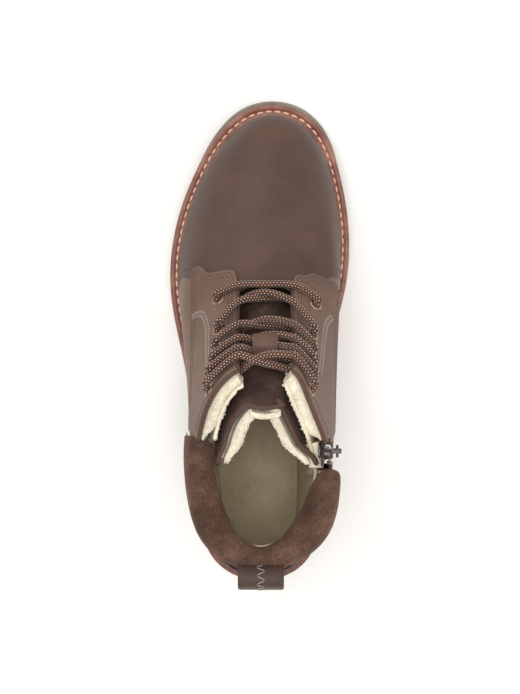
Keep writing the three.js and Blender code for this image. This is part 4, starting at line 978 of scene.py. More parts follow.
def build_sole(sizes):
    # each layer's outline is the upper's bottom edge grown outwards
    rim = ring_outline(6.6, 2.6, 0.4)
    bumper = ring_outline(6.2, 6.1, 2.0)

    def shrunk(ring, d):
        c = np.array([0.0, -5.0])
        t = np.roll(ring, -1, 0) - np.roll(ring, 1, 0)
        nrm = np.stack([-t[:, 1], t[:, 0]], -1)
        nrm /= np.linalg.norm(nrm, axis=1, keepdims=True)
        if np.sum(nrm * (ring - c)) < 0:
            nrm = -nrm
        return ring - nrm * d

    def level(rule, d):
        return lambda y: rule(y) + d

    sole = ring_solid("outsole",
                      [shrunk(bumper, 0.9), shrunk(bumper, 0.25), bumper, bumper, shrunk(bumper, 0.5),
                       shrunk(bumper, 1.4)],
                      [level(out_low, 0), level(out_low, 0.5), level(out_low, 1.4), level(out_top, -1.6),
                       level(out_top, -0.5), level(out_top, 0)])
    cutters = []
    for y in FORE_GROOVES:
        z = float(spring_at(y))
        cutters.append(box_from(f"groove_{y}", ((-40, 44), (-GROOVE_HALF, GROOVE_HALF), (-3, GROOVE_D)),
                                (0, y, z), np.eye(3)))
    boolean_cut(sole, cutters)
    bevelled(sole, 0.5, 1, 60)
    finish(sole, "boot", MATS["rubber"], ["outsole"])

    keep = bumper[:, 1] < HEEL_BREAST_Y + 2
    back = shrunk(bumper, 0.6)
    ring = [tuple(p) for p in back[keep]]
    order = sorted(range(len(ring)), key=lambda i: math.atan2(ring[i][0] - 0.5, ring[i][1] - HEEL_BREAST_Y))
    ring = np.array([ring[i] for i in order])
    ys = ring[:, 1]
    ring[:, 1] = np.where(ys > HEEL_BREAST_Y, HEEL_BREAST_Y, ys)
    heel = heel_solid("heel_block", ring)
    cutters = [box_from(f"heel_groove_{-y}", ((-27, 27), (-GROOVE_HALF, GROOVE_HALF), (-3, GROOVE_D)),
                        (0, y, 0), np.eye(3)) for y in HEEL_GROOVES]
    boolean_cut(heel, cutters)
    bevelled(heel, 0.6, 2, 40)
    finish(heel, "boot", MATS["rubber"], ["heel_lift"])

    mid_top, mid_low = level(seat_z, -WELT_T - LAYER_GAP), level(seat_z, -WELT_T - LAYER_GAP - MIDSOLE_T)
    mid = ring_solid("midsole",
                     [shrunk(rim, 0.9), shrunk(rim, 0.2), rim, rim, shrunk(rim, 0.25), shrunk(rim, 0.9)],
                     [level(mid_low, 0), level(mid_low, 0.6), level(mid_low, 1.3), level(mid_top, -1.3),
                      level(mid_top, -0.4), level(mid_top, 0)])
    finish(mid, "boot", MATS["rim"], ["midsole"])

    # the rim seen from above: a rounded outer edge, a stitch channel, then level up to the upper
    section = [(0.7, 0.0), (0.15, 0.25), (0.0, 0.9), (0.0, 1.7), (0.25, 2.3), (0.9, 2.6), (2.6, 2.6),
               (3.2, 2.3), (4.2, 2.1), (5.1, 2.3), (5.7, 2.55), (6.8, 2.6), (8.8, 2.6), (8.8, 0.0)]
    inner = ring_outline(-2.2)
    far = np.linalg.norm(rim - inner, axis=1, keepdims=True)
    way = (inner - rim) / far
    n, m = len(rim), len(section)
    verts = np.zeros((n, m, 3))
    for k, (d, h) in enumerate(section):
        reach = far if d > 8.5 else d * np.ones_like(far)
        xy = rim + way * reach
        verts[:, k, :2] = xy
        verts[:, k, 2] = seat_z(xy[:, 1]) - WELT_T + h
    faces = [(r * m + k, r * m + (k + 1) % m, ((r + 1) % n) * m + (k + 1) % m, ((r + 1) % n) * m + k)
             for r in range(n) for k in range(m)]
    welt = new_object("welt", metres(verts.reshape(-1, 3)), faces)
    outward(welt.data)
    finish(welt, "boot", MATS["rim"], ["welt"])

    line = rim + way * 4.2
    pts = np.concatenate([line, seat_z(line[:, 1])[:, None] - 0.15], 1)
    pts = np.concatenate([pts, pts[:1]])
    seams = stitches("welt_stitching", [(pts, [(0, 0, 1)] * len(pts))], MATS["welt_thread"],
                     sizes.welt_pitch * 1000, sizes.welt_pitch * 1000 * 0.86, 1.5, 1.1)
    finish(seams, "boot", MATS["welt_thread"])

    # felt insole: lower in the middle than at its edge
    steps = (0, 0.1, 0.25, 0.4, 0.55, 0.7, 0.8, 0.88, 0.95, 1.0)
    edge = ring_outline(-9.9)
    spine = np.stack([np.zeros(len(edge)) + 0.5, edge[:, 1] * 0.86 - 1.0], -1)
    rings, tops = [], []
    for t in steps[::-1]:
        rings.append(spine * (1 - t) + edge * t)
        tops.append(level(seat_z, 4.2 + 6.4 * t ** 3 - (0.7 if t == 1 else 0)))
    bed = ring_solid("footbed", [edge] + rings[:-1], [level(seat_z, 0.3)] + tops[:-1])
    finish(bed, "boot", MATS["felt"], ["footbed"])


def heel_solid(name, ring):
    """The heel block: an outline with a straight front, its top following the outsole."""
    n = len(ring)
    top = [(x, y, float(out_low(y)) - 0.3) for x, y in ring]
    mid = [(x, y, 1.2) for x, y in ring]
    c = ring.mean(0)
    low = [(c[0] + (x - c[0]) * 0.985, c[1] + (y - c[1]) * 0.985, 0.0) for x, y in ring]
    faces = []
    for r in range(2):
        for k in range(n):
            j = (k + 1) % n
            faces.append((r * n + k, r * n + j, (r + 1) * n + j, (r + 1) * n + k))
    verts = low + mid + top
    for r, flip in ((0, True), (2, False)):
        verts.append((c[0], c[1], 0.0 if r == 0 else float(out_low(c[1])) - 0.3))
        hub = len(verts) - 1
        for k in range(n):
            f = (r * n + k, r * n + (k + 1) % n, hub)
            faces.append(f[::-1] if flip else f)
    obj = new_object(name, metres(np.array(verts)), faces)
    outward(obj.data)
    return obj


# ---------------------------------------------------------------- upper
def build_vamp():
    vamp = panel("vamp", lambda t: seam_u(4.25 * t) - 0.01, lambda t: 16.01 - seam_u(4.25 * t), 0, 4.25,
                 -1.7, 0.0, 96, 80, 0.5)
    finish(vamp, "boot", MATS["vamp"], ["vamp"])
    for name, high, lo, hi in (("insulation_vamp", 3.8, *INSULATION),
                               ("lining_vamp", 4.0, -10.2, LINING_BACK)):
        soft = panel(name, lambda t: seam_u(high * t) + SEAM_GAP,
                     lambda t: STATIONS - SEAM_GAP - seam_u(high * t), 0, high, lo, hi, 40, 32, 0.3)
        mat, slot = ("wadding", "wadding") if "insulation" in name else ("wool", "wool")
        finish(soft, "boot", MATS[mat], [name])


def build_sides(sizes):
    brown, tan = MATS["brown_thread"], MATS["light_thread"]

    def out_high(s):
        return 5.5 + 0.5 * step((s - 0.6) / 0.05)

    def in_high(s):
        return 6.0 - 0.5 * step((s - 0.47) / 0.04)

    # the quarters take the paler copy of the cowhide, its paleness painted light
    outer = panel("quarter_outer", 0.005, lambda t: seam_u(6 * t), 0, out_high, *SKIN, 84, 72, 0.3)
    finish(outer, "boot", MATS["side"], ["quarter_outer"])
    inner = panel("quarter_inner", lambda t: 16 - seam_u(6 * t), 15.995, 0, in_high, *SKIN, 84, 72, 0)
    slot = box_from("zip_slot", ((-5.8, 5.8), (-20, ZIP_LENGTH + 2), (-9, 9)), ZIP_TOP,
                    (ZIP_ACROSS, ZIP_DOWN, ZIP_OUT))
    boolean_cut(inner, [slot])
    bevelled(inner, 0.4, 2)
    finish(inner, "boot", MATS["side"], ["quarter_inner"])

    facing_rows = [(7.0, 4.12), (7.0, 4.5), (7.0, 5.0), (7.0, 5.5), (7.0, 5.99)]
    # the facings take the paler copy of the cowhide, its paleness painted light
    tab = coons("facing_outer", FACING_LOW, FACING_FRONT + facing_rows[1:],
                [(COLLAR_OUTER_U - 0.12, 5.99), (5.2, 5.99), (6.1, 5.99), (7.0, 5.99)],
                [(3.98, 4.98), (4.14, 5.4), (COLLAR_OUTER_U - 0.12, 5.99)], 0.12, 1.5, 72, 72, 0.55)
    finish(tab, "boot", MATS["tab"])
    inner_rows = [(9.0, 4.12), (9.0, 4.5), (9.0, 5.0), (9.0, 5.5), (9.0, 5.99)]
    tab_in = coons("facing_inner", INNER_LOW[::-1], [(12.1, 4.94), (11.96, 5.4), (11.74, 5.99)],
                   [(9.0, 5.99), (9.9, 5.99), (10.8, 5.99), (11.74, 5.99)], INNER_FRONT + inner_rows[1:],
                   0.12, 1.5, 72, 72, 0.55)
    finish(tab_in, "boot", MATS["tab"])

    # the facing's folded edge, a narrow raised strip down each side of the throat
    for name, u in (("outer", 7.0), ("inner", 9.0)):
        v = np.linspace(4.14, 5.97, 40)
        path = at(np.full_like(v, u), v, 0.4)
        fold = sweep(f"facing_fold_{name}", path, [(x * 1.25, y * 1.5) for x, y in round_section(1, 10)],
                     ups=surf_normal(np.full_like(v, u), v))
        finish(fold, "boot", MATS["edge"])
    # bound top edge of each side, from the facing back to the collar
    for name, a, b in (("outer", COLLAR_OUTER_U - 0.15, 7.0), ("inner", 9.0, 11.76)):
        u = np.linspace(a, b, 50)
        path = at(u, np.full_like(u, 5.985), -0.1)
        bind = sweep(f"top_binding_{name}", path, [(x * 1.9, y * 1.15) for x, y in round_section(1, 12)],
                     ups=surf_normal(u, np.full_like(u, 5.98)) + 0.001)
        finish(bind, "boot", MATS["edge"])

    cover = panel("heel_cover", lambda t: -1.6 + 0.85 * t, lambda t: 1.6 - 0.85 * t, 0, 3.0,
                  0.2, COVER_OUT, 48, 44, 0.5)
    finish(cover, "boot", MATS["strap"], ["heel_cover"])

    rows = []
    for d in (2.2, 4.6):
        rows.append(surface_row(inset(FACING_LOW[1:], -d), FACING_OUT))
        front = FACING_FRONT if d < 3 else FACING_FRONT[:-1]
        rows.append(surface_row(inset(front, -d), FACING_OUT))
        rows.append(surface_row(inset(INNER_LOW, d)[1:], FACING_OUT))
        rows.append(surface_row(inset(INNER_FRONT, d), FACING_OUT))
    for d in (0.17, 0.28):
        v = np.linspace(4.2, 5.9, 14)
        rows.append(surface_row([(7.0 - d, x) for x in v], FACING_OUT))
        rows.append(surface_row([(9.0 + d, x) for x in v], FACING_OUT))
    for d in (0.12, 0.2):
        rows.append(surface_row([(u, 6 - d) for u in np.linspace(COLLAR_OUTER_U + 0.15, 6.7, 12)],
                                FACING_OUT))
        rows.append(surface_row([(u, 6 - d) for u in np.linspace(9.3, 11.55, 12)], FACING_OUT))
    for d in (0.07, 0.15):
        steps = np.linspace(0.06, 0.95, 10)
        rows.append(surface_row([(-1.6 + 0.85 * t + d, 3 * t) for t in steps], COVER_OUT))
        rows.append(surface_row([(1.6 - 0.85 * t - d, 3 * t) for t in steps], COVER_OUT))
        rows.append(surface_row([(u, 3 - 1.2 * d) for u in np.linspace(-0.66, 0.66, 8)], COVER_OUT))
    v = np.linspace(0.15, 2.95, 12)
    rows.append(surface_row([(seam_u(x) + 0.1, x) for x in v], 0.05))
    rows.append(surface_row([(15.9 - seam_u(x), x) for x in v], 0.05))
    seams = stitches("upper_stitching", rows, brown, sizes.seam_pitch * 1000, sizes.seam_pitch * 1000 * 0.78,
                     0.85, 0.55)
    finish(seams, "boot", brown)

    # the raised arc across each side, sewn as slanting stitches in two leaning rows
    arcs = [[(5.4, 3.78), (5.72, 3.98), (5.86, 4.14), (5.94, 4.42), (5.88, 4.66), (5.86, 4.9), (5.8, 5.12)],
            [(10.44, 3.92), (10.26, 4.18), (10.26, 4.5), (10.34, 4.8), (10.38, 5.08)]]
    for slant, shift in ((0.8, 1.2), (-0.8, -1.2)):
        lines = [surface_row(inset(a, shift), FACING_OUT) for a in arcs]
        arc = stitches("arc_stitching_" + ("a" if slant > 0 else "b"), lines, tan, 1.7, 3.2, 0.95, 0.65,
                       slant)
        finish(arc, "boot", tan)


def pile_faces(obj, wool_side_faces):
    layer = obj.data.attributes.new("pile", "FLOAT", "FACE")
    values = np.zeros(len(obj.data.polygons))
    values[wool_side_faces] = 1
    layer.data.foreach_set("value", values)


def grow_pile(name, lining, choose, material, sizes, seed, spacing=1.0):
    """Grows tufts on the inner faces of a lining that choose() keeps, as a piece of its own."""
    copy = bpy.data.objects.new(name, lining.data.copy())
    bpy.context.scene.collection.objects.link(copy)
    faces = [p.index for p in copy.data.polygons if choose(p)]
    pile_faces(copy, faces)
    return run_tree(copy, TREES["pile"], {
        "Spacing": sizes.tuft * spacing, "Size": sizes.tuft * 0.85, "Seed": seed, "Material": material})


def inside_faces(obj):
    """The half of a grid shell's quads that lie on its second, inner sheet."""
    half = len(obj.data.vertices) // 2
    return {p.index for p in obj.data.polygons if all(v >= half for v in p.vertices)}


def build_linings(sizes):
    def insul_edge(t):
        return np.minimum(seam_u(6 * t), 5.55)

    parts = [
        ("insulation_outer", SEAM_GAP, insul_edge),
        ("insulation_inner", lambda t: STATIONS - insul_edge(t), STATIONS - SEAM_GAP),
    ]
    for name, a, b in parts:
        soft = panel(name, a, b, 0, 5.4, *INSULATION, 40, 36, 0)
        if name.endswith("inner"):
            boolean_cut(soft, [box_from("channel", ((-11, 11), (-30, ZIP_LENGTH + 5), (-12, 9)), ZIP_TOP,
                                        (ZIP_ACROSS, ZIP_DOWN, ZIP_OUT))])
        finish(soft, "boot", MATS["wadding"], [name])

    def lining_u(t):
        v = 6 * t
        return seam_u(v) - np.interp(v, [3.8, 4.1, 5.25, 5.6], [0.03, 0.3, 0.3, 0.05])

    wool = fleece(flat_rule(-10.4), 0.8, 5)
    back = flat_rule(LINING_BACK)
    outer = panel("lining_outer", 1.8, lining_u,
                  0, lambda s: 5.5 + 0.5 * step((s - 0.46) / 0.05), wool, back, 90, 120, 0)
    inner = panel("lining_inner", lambda t: 16 - lining_u(t), 14.2, 0,
                  lambda s: 6.0 - 0.5 * step((s - 0.62) / 0.05), wool, back, 90, 120, 0)
    for obj, node_name, seed in ((outer, "lining_outer", 11), (inner, "lining_inner", 12)):
        first = inside_faces(obj)
        tufts = grow_pile(node_name + "_pile", obj,
                          lambda p: p.index in first and p.center.z > 0.085 and p.center.y > -0.06,
                          MATS["wool"], sizes, seed, 1.15)
        finish(obj, "boot", MATS["wool"], [node_name])
        obj.data.materials.append(MATS["felt"])
        for p in obj.data.polygons:
            p.material_index = int(p.center.y < -0.057 or p.center.z < 0.085)
        finish(tufts, "boot", MATS["wool"])
    heel = panel("lining_heel", -1.8, 1.8, 0, 5.5, fleece(flat_rule(-10.3), 0.35, 9), flat_rule(LINING_BACK),
                 60, 80, 0)
    finish(heel, "boot", MATS["felt"], ["lining_heel"])

    # fleece facing seen along the inside of each side's top edge
    for name, a, b, seed in (("wool_edge_outer", 4.2, 6.85, 21), ("wool_edge_inner", 9.15, 11.65, 22)):
        def thick(u, v, low=a if a < 8 else b, high=b if a < 8 else a):
            t = (u - low) / (high - low)
            o = -3.2 - 7.6 * step(t / (0.42 if low < 8 else 0.16)) + 2.6 * step((t - 0.8) / 0.2)
            return o + 1.2 * value_noise(surf(u, v), 9.0, 77) * step(t / 0.3), 0.0
        roll = panel(name, a, b, 5.0, 5.97, fleece(thick, 1.0, seed), flat_rule(-1.6), 100, 44, 0)
        first = inside_faces(roll)
        tufts = grow_pile(name + "_pile", roll, lambda p: p.index in first or p.normal.z > 0.75, MATS["wool"],
                          sizes, seed, 0.9)
        finish(roll, "boot", MATS["wool"])
        finish(tufts, "boot", MATS["wool"])


# ---------------------------------------------------------------- tongue
def tongue_rule(depth, lump=0.0, seed=0, bulge=0.0):
    """The tongue's outer face less a depth. bulge fills the sides out with fleece towards the foot."""
    def rule(u, v):
        d = np.abs(u - 8)
        rise = 5.6 * np.clip(1 - d, 0, 1) * np.clip((v - 4) * 2, 0, 1) * np.clip((5.9 - v) / 0.9, 0, 1)
        lean = 11.0 * np.clip(v - 4.9, 0, 1) ** 1.5 * (1 - 0.6 * np.clip(d / 3.4, 0, 1))
        pinch = np.sign(8 - u) * np.minimum(d, 2) / 2 * 3.0 * np.clip(v - 5, 0, 1)
        spread = np.where(u < 8, 2.5 * step((d - 3.4) / 0.7), 7.5 * step((d - 3.3) / 0.8))
        o = -10.9 + rise - depth + spread * np.clip(v - 5, 0, 1)
        side = step((d - 0.5) / 1.3) * step((4.3 - d) / 0.8) * np.where(u < 8, 1.0, 0.7)
        o = o - bulge * side * np.sin(np.pi * np.clip((v - 4.6) / 1.5, 0, 1)) ** 0.8
        if lump:
            p = surf(u, v)
            o = o + lump * (value_noise(p, 5.0, seed) * 0.6 + value_noise(p, 2.2, seed + 1) * 0.5)
        return o, np.stack([pinch, -lean, np.zeros_like(lean)], -1)
    return rule


def tongue_left(t):
    v = 3.8 + 2.2 * t
    return np.interp(v, [3.8, 4.3, 4.5, 5.0, 5.5, 6.0], [6.6, 6.1, 5.6, 5.0, 4.3, 3.85])


def build_tongue(sizes):
    skin = panel("tongue", tongue_left, lambda t: 16 - tongue_left(t), 3.8, 6.0, tongue_rule(1.6),
                 tongue_rule(0.0), 96, 48, 0.4)
    finish(skin, "boot", MATS["tongue"], ["tongue", "gusset_outer", "gusset_inner"])
    foam = panel("tongue_foam", lambda t: tongue_left(t) + 0.12, lambda t: 15.88 - tongue_left(t), 3.85, 5.85,
                 tongue_rule(4.6), tongue_rule(1.7), 60, 30, 0.4)
    finish(foam, "boot", MATS["wadding"], ["tongue_foam"])
    lining = panel("tongue_lining", lambda t: tongue_left(t) + 0.05, lambda t: 15.95 - tongue_left(t), 3.85,
                   5.98,
                   tongue_rule(7.4, 0.9, 31, 9.0), tongue_rule(4.7), 120, 80, 0)
    first = inside_faces(lining)
    tufts = grow_pile("tongue_lining_pile", lining,
                      lambda p: (p.index in first and p.center.z > 0.11) or p.normal.z > 0.8, MATS["wool"],
                      sizes, 32, 0.95)
    finish(lining, "boot", MATS["wool"], ["tongue_lining"])
    finish(tufts, "boot", MATS["wool"])
    u = np.linspace(3.9, 12.1, 100)
    path = at(u, np.full_like(u, 5.98), tongue_rule(0.9))
    bind = sweep("tongue_binding", path, [(x * 2.1, y * 1.5) for x, y in round_section(1, 12)],
                 ups=surf_normal(u, np.full_like(u, 5.98)))
    finish(bind, "boot", MATS["edge"])
    rows = []
    for v in (5.86, 5.76):
        u = np.linspace(4.3, 11.7, 80)
        vv = np.full_like(u, v)
        rows.append((at(u, vv, tongue_rule(-0.1)), surf_normal(u, vv)))
    seams = stitches("tongue_stitching", rows, MATS["brown_thread"], sizes.seam_pitch * 1000,
                     sizes.seam_pitch * 780, 0.85, 0.5)
    finish(seams, "boot", MATS["brown_thread"])


# ---------------------------------------------------------------- collar
def puffed(obj, pressure, cap_mm, voxel_mm=4.0):
    """Fills a pad with air as cloth, holds each point within cap_mm of where it started, and smooths it."""
    remesh = obj.modifiers.new("even", "REMESH")
    remesh.mode = "VOXEL"
    remesh.voxel_size = voxel_mm / 1000
    apply_modifiers(obj)
    scene = bpy.context.scene
    start = np.array([v.co for v in obj.data.vertices])
    cloth = obj.modifiers.new("air", "CLOTH")
    cloth.settings.quality = 5
    cloth.settings.use_pressure = True
    cloth.settings.uniform_pressure_force = pressure
    cloth.settings.effector_weights.gravity = 0.0
    cloth.settings.shrink_min = -0.02
    scene.frame_start, scene.frame_end = 1, 20
    cloth.point_cache.frame_start, cloth.point_cache.frame_end = 1, 20
    for f in range(1, 21):
        scene.frame_set(f)
    deps = bpy.context.evaluated_depsgraph_get()
    moved = np.array([v.co for v in obj.evaluated_get(deps).data.vertices])
    scene.frame_set(1)
    obj.modifiers.remove(cloth)
    d = moved - start
    far = np.linalg.norm(d, axis=1, keepdims=True)
    moved = start + d * np.minimum(1, cap_mm / 1000 / np.maximum(far, 1e-9))
    obj.data.vertices.foreach_set("co", moved.ravel())
    obj.data.update()
    even = obj.modifiers.new("ease", "SMOOTH")
    even.factor, even.iterations = 0.5, 3
    sub = obj.modifiers.new("round", "SUBSURF")
    sub.levels = sub.render_levels = 1
    apply_modifiers(obj)
    obj.data.shade_smooth()
    return obj


COLLAR_LOOP = [(2.6, 5.0, 0), (4.3, 5.35, 0), (4.9, 5.7, 0), (4.1, 6, 0), (1.4, 6, 2.6), (-3.5, 6, 4.0),
               (-8.2, 6, 2.8), (-11.4, 6, 0), (-12.2, 5.7, 0), (-11.6, 5.38, 0), (-9.6, 5.38, 0),
               (-8.0, 5.56, 0), (-3.5, 5.6, 0), (0.2, 5.56, 0), (0.9, 5.3, 0), (0.8, 5.0, 0)]


def collar_front(o, v):
    """Where the collar ends on the outer side: slanting forward to the rim, and back again inside."""
    return np.interp(v, [5.0, 6.0], [3.94, 4.4]) - 0.22 * step((-2.0 - o) / 9.0)


# how far the pad reaches in over the foot at stations round the heel, which are negative by the zip
COLLAR_REACH = [(-3.5, -6.5), (-3.15, -2.6), (-2.8, 1.5), (-2.0, 4.4), (-1.4, 3.8), (-0.5, -1.2), (0, -2.6),
                (0.5, -1.2), (1.4, 2.4), (2.0, 3.6), (2.8, 1.6), (3.3, 0.0)]


def collar_ring(s, section):
    out = []
    for o, v, h in section:
        u0 = float(np.interp(v, *zip(*ZIP_LINE))) + 0.46 - 16
        u = u0 + (collar_front(o, v) - u0) * s
        if o < -3:
            o -= float(along(COLLAR_REACH, u)) * step((-3 - o) / 5)
        p = at(u, v, o)
        out.append(p + np.array([0, 0, h]))
    return np.array(out)


def build_collar(sizes):
    steps = np.linspace(0, 1, 61)
    sec = smooth_path([(o, v, h) for o, v, h in COLLAR_LOOP], 2, closed=True)
    rings = [collar_ring(s, sec) for s in steps]
    n, m = len(rings), len(rings[0])
    faces = [(r * m + k, r * m + (k + 1) % m, (r + 1) * m + (k + 1) % m, (r + 1) * m + k)
             for r in range(n - 1) for k in range(m)]
    faces += [tuple(range(m))[::-1], tuple(range((n - 1) * m, n * m))]
    pad = new_object("collar", metres(np.concatenate(rings)), faces)
    outward(pad.data)
    puffed(pad, 4.0, 5.0, 3.0)
    finish(pad, "boot", MATS["collar"], ["collar", "collar_foam"])

    def line(o, v, h):
        pts = np.array([collar_ring(s, [(o, v, h)])[0] for s in np.linspace(0.015, 0.985, 80)])
        u = np.linspace(-3.3, COLLAR_OUTER_U, 80)
        return pts, surf_normal(u, np.full_like(u, min(v, 5.95)))
    rows = [line(3.1, 5.06, 0), line(3.7, 5.13, 0)]
    seams = stitches("collar_stitching", rows, MATS["brown_thread"], sizes.seam_pitch * 1000,
                     sizes.seam_pitch * 780, 0.9, 0.7)
    finish(seams, "boot", MATS["brown_thread"])


# ---------------------------------------------------------------- eyelets and lace
def eyelet_places():
    out = []
    for side, us in ((-1, EYELET_OUTER_U), (1, EYELET_INNER_U)):
        for k, v in enumerate(EYELET_V):
            u = 8 + side * us[k]
            out.append({"side": side, "k": k, "u": u, "v": v, "c": at(u, v), "n": surf_normal(u, v)})
    return out


EYELETS = eyelet_places()


def build_eyelets():
    prof = [(2.6, 0.6), (2.75, 1.6), (3.1, 2.15), (3.6, 2.4), (4.2, 2.25), (4.55, 1.75), (4.55, 1.45),
            (3.1, 1.35), (3.1, -2.4), (4.2, -2.4), (4.2, -2.8), (2.7, -2.8)]
    for e in EYELETS:
        name = f"eyelet_{'outer' if e['side'] < 0 else 'inner'}_{e['k'] + 1}"
        ring = lathe(name, prof, e["c"], e["n"])
        finish(ring, "boot", MATS["brass"], [name])


def from_eye(e, along_mm, out_mm):
    towards = 1 if e["side"] < 0 else -1
    d = at(e["u"] + towards * 0.05, e["v"]) - at(e["u"] - towards * 0.05, e["v"])
    return e["c"] + e["n"] * out_mm + d / np.linalg.norm(d) * along_mm


def lace_route():
    eye = {(e["side"], e["k"]): e for e in EYELETS}

    def over(e):
        return [from_eye(e, 5.0, 5.4), from_eye(e, 2.6, 5.2), from_eye(e, 0.9, 4.3), from_eye(e, 0.05, 2.6)]

    def under(e):
        return [from_eye(e, 0.05, -3.1), from_eye(e, 0.9, -4.9), from_eye(e, 2.6, -5.75),
                from_eye(e, 4.6, -5.85)]

    def span(a, b, lift):
        d = 1 if a["side"] < 0 else -1
        steps = [(-0.95, 0.3, -5.5), (-0.72, 0.36, -4.2 + lift * 0.3), (-0.36, 0.43, -1.2 + lift * 0.75),
                 (0, 0.5, 1.5 + lift), (0.36, 0.57, 2.9 + lift * 0.8), (0.72, 0.64, 4.3 + lift * 0.2),
                 (1.02, 0.72, 5.0)]
        return [at(8 + d * du, a["v"] + (b["v"] - a["v"]) * t, o) for du, t, o in steps]
    halves = [[], []]
    for k in range(5):
        s = -1 if k % 2 == 0 else 1
        for side, h in ((s, 0), (-s, 1)):
            a, b = eye[(side, k)], eye[(-side, k + 1)]
            halves[h] += under(a) + span(a, b, 2.6 if h == k % 2 else -2.6) + over(b)
    tails = [under(eye[(1, 5)])[:3], under(eye[(-1, 5)])[:3]]
    bar = over(eye[(-1, 0)])[:0:-1]
    bar += [at(8 + d, EYELET_V[0] + 0.15 - 0.07 * d * d, 5.4 - 0.5 * d * d)
            for d in (-1.15, -0.8, -0.4, 0, 0.4, 0.8, 1.15)]
    bar += over(eye[(1, 0)])[1:]
    return (halves[0] + tails[0])[::-1] + bar + halves[1] + tails[1]


def build_lace(sizes):
    path = smooth_path(lace_route(), 5)
    lace = sweep("lace", path, round_section(sizes.lace_radius * 1000, 16))
    finish(lace, "boot", MATS["lace"], ["lace"])
    for name in ("aglet_inner", "aglet_outer"):
        paint(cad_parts[name], MATS["tip"])


def build_keeper():
    v = (EYELET_V[2] + EYELET_V[3]) / 2 + 0.24
    base, out = at(8.0, v), surf_normal(8.0, v)
    across = np.array([1.0, 0, 0])
    across -= out * np.dot(across, out)
    across /= np.linalg.norm(across)
    up = np.cross(out, across)
    loop = smooth_path([(-6.6, -4.2), (-6.9, 2.0), (-6.6, 6.4), (-5.4, 8.0), (-2.5, 8.6), (2.5, 8.6),
                        (5.4, 8.0), (6.6, 6.4), (6.9, 2.0), (6.6, -4.2)], 4)
    path = np.array([base + up * y + out * o for y, o in loop])
    t = np.gradient(path, axis=0)
    ups = np.cross(across, t)
    strap = sweep("lace_keeper", path, [(x * 7.3, y * 0.75) for x, y in super_section(14)], ups=ups)
    finish(strap, "boot", MATS["keeper"], ["lace_keeper"])
    ups /= np.linalg.norm(ups, axis=1, keepdims=True)
    if np.dot(ups[len(ups) // 2], out) < 0:
        ups = -ups
    rows = [(path + across * x + ups * 0.75, ups) for x in (-5.6, 5.6)]
    seams = stitches("keeper_stitching", rows, MATS["brown_thread"], 2.6, 2.0, 0.8, 0.5)
    finish(seams, "boot", MATS["brown_thread"])


def super_section(count, power=0.35):
    """A flat strap's section: an oblong with rounded ends, one unit each way."""
    a = np.arange(count * 2) * math.pi / count
    c, s = np.cos(a), np.sin(a)
    return [(np.sign(x) * abs(x) ** power, np.sign(y) * abs(y) ** power) for x, y in zip(c, s)]


LOOP_PATH = [(-136.4, 93), (-136.0, 103), (-139.0, 112), (-141.6, 123), (-141.2, 133), (-138.6, 139.2),
             (-134.6, 140.2), (-130.0, 138.2), (-127.0, 134.5)]


ZIGZAG_WIDTH, ZIGZAG_STEP = 5.5, 5.2


def build_pull_loop():
    yz = smooth_path(LOOP_PATH, 6)
    path = np.stack([np.full(len(yz), 0.5), yz[:, 0], yz[:, 1]], -1)
    t = np.gradient(path, axis=0)
    ups = np.cross(t, (1.0, 0, 0))
    ups /= np.linalg.norm(ups, axis=1, keepdims=True)
    if ups[0][1] > 0:
        ups = -ups
    strap = sweep("heel_pull_loop", path, [(x * 13.5, y * 1.0) for x, y in super_section(14)], ups=ups)
    finish(strap, "boot", MATS["strap"], ["heel_pull_loop"])
    rows = [(path + np.array([x, 0, 0]) + ups * 1.0, ups) for x in (-11.6, 11.6)]
    run = run_along(path)
    pitch = run[-1] / round(run[-1] / ZIGZAG_STEP)
    inner = np.linspace(pitch / 2, run[-1] - pitch / 2, len(path))

    def between(line):
        return np.stack([np.interp(inner, run, line[:, k]) for k in range(3)], -1)
    zig = [(path + ups, ups), (between(path + ups), between(ups))]
    seams = stitches("pull_loop_stitching", rows, MATS["brown_thread"], 2.6, 2.0, 0.8, 0.5)
    finish(seams, "boot", MATS["brown_thread"])
    stitch = math.hypot(ZIGZAG_WIDTH, pitch / 2)
    lean = math.atan2(ZIGZAG_WIDTH, pitch / 2)
    for k, (row, slant) in enumerate(zip(zig, (lean, -lean))):
        part = stitches(f"pull_loop_zigzag_{k + 1}", [row], MATS["light_thread"], pitch * 0.999, stitch, 0.7,
                        0.6, slant)
        finish(part, "boot", MATS["light_thread"])


# ---------------------------------------------------------------- zip
def paint(obj, material):
    obj.data.materials.clear()
    obj.data.materials.append(material)


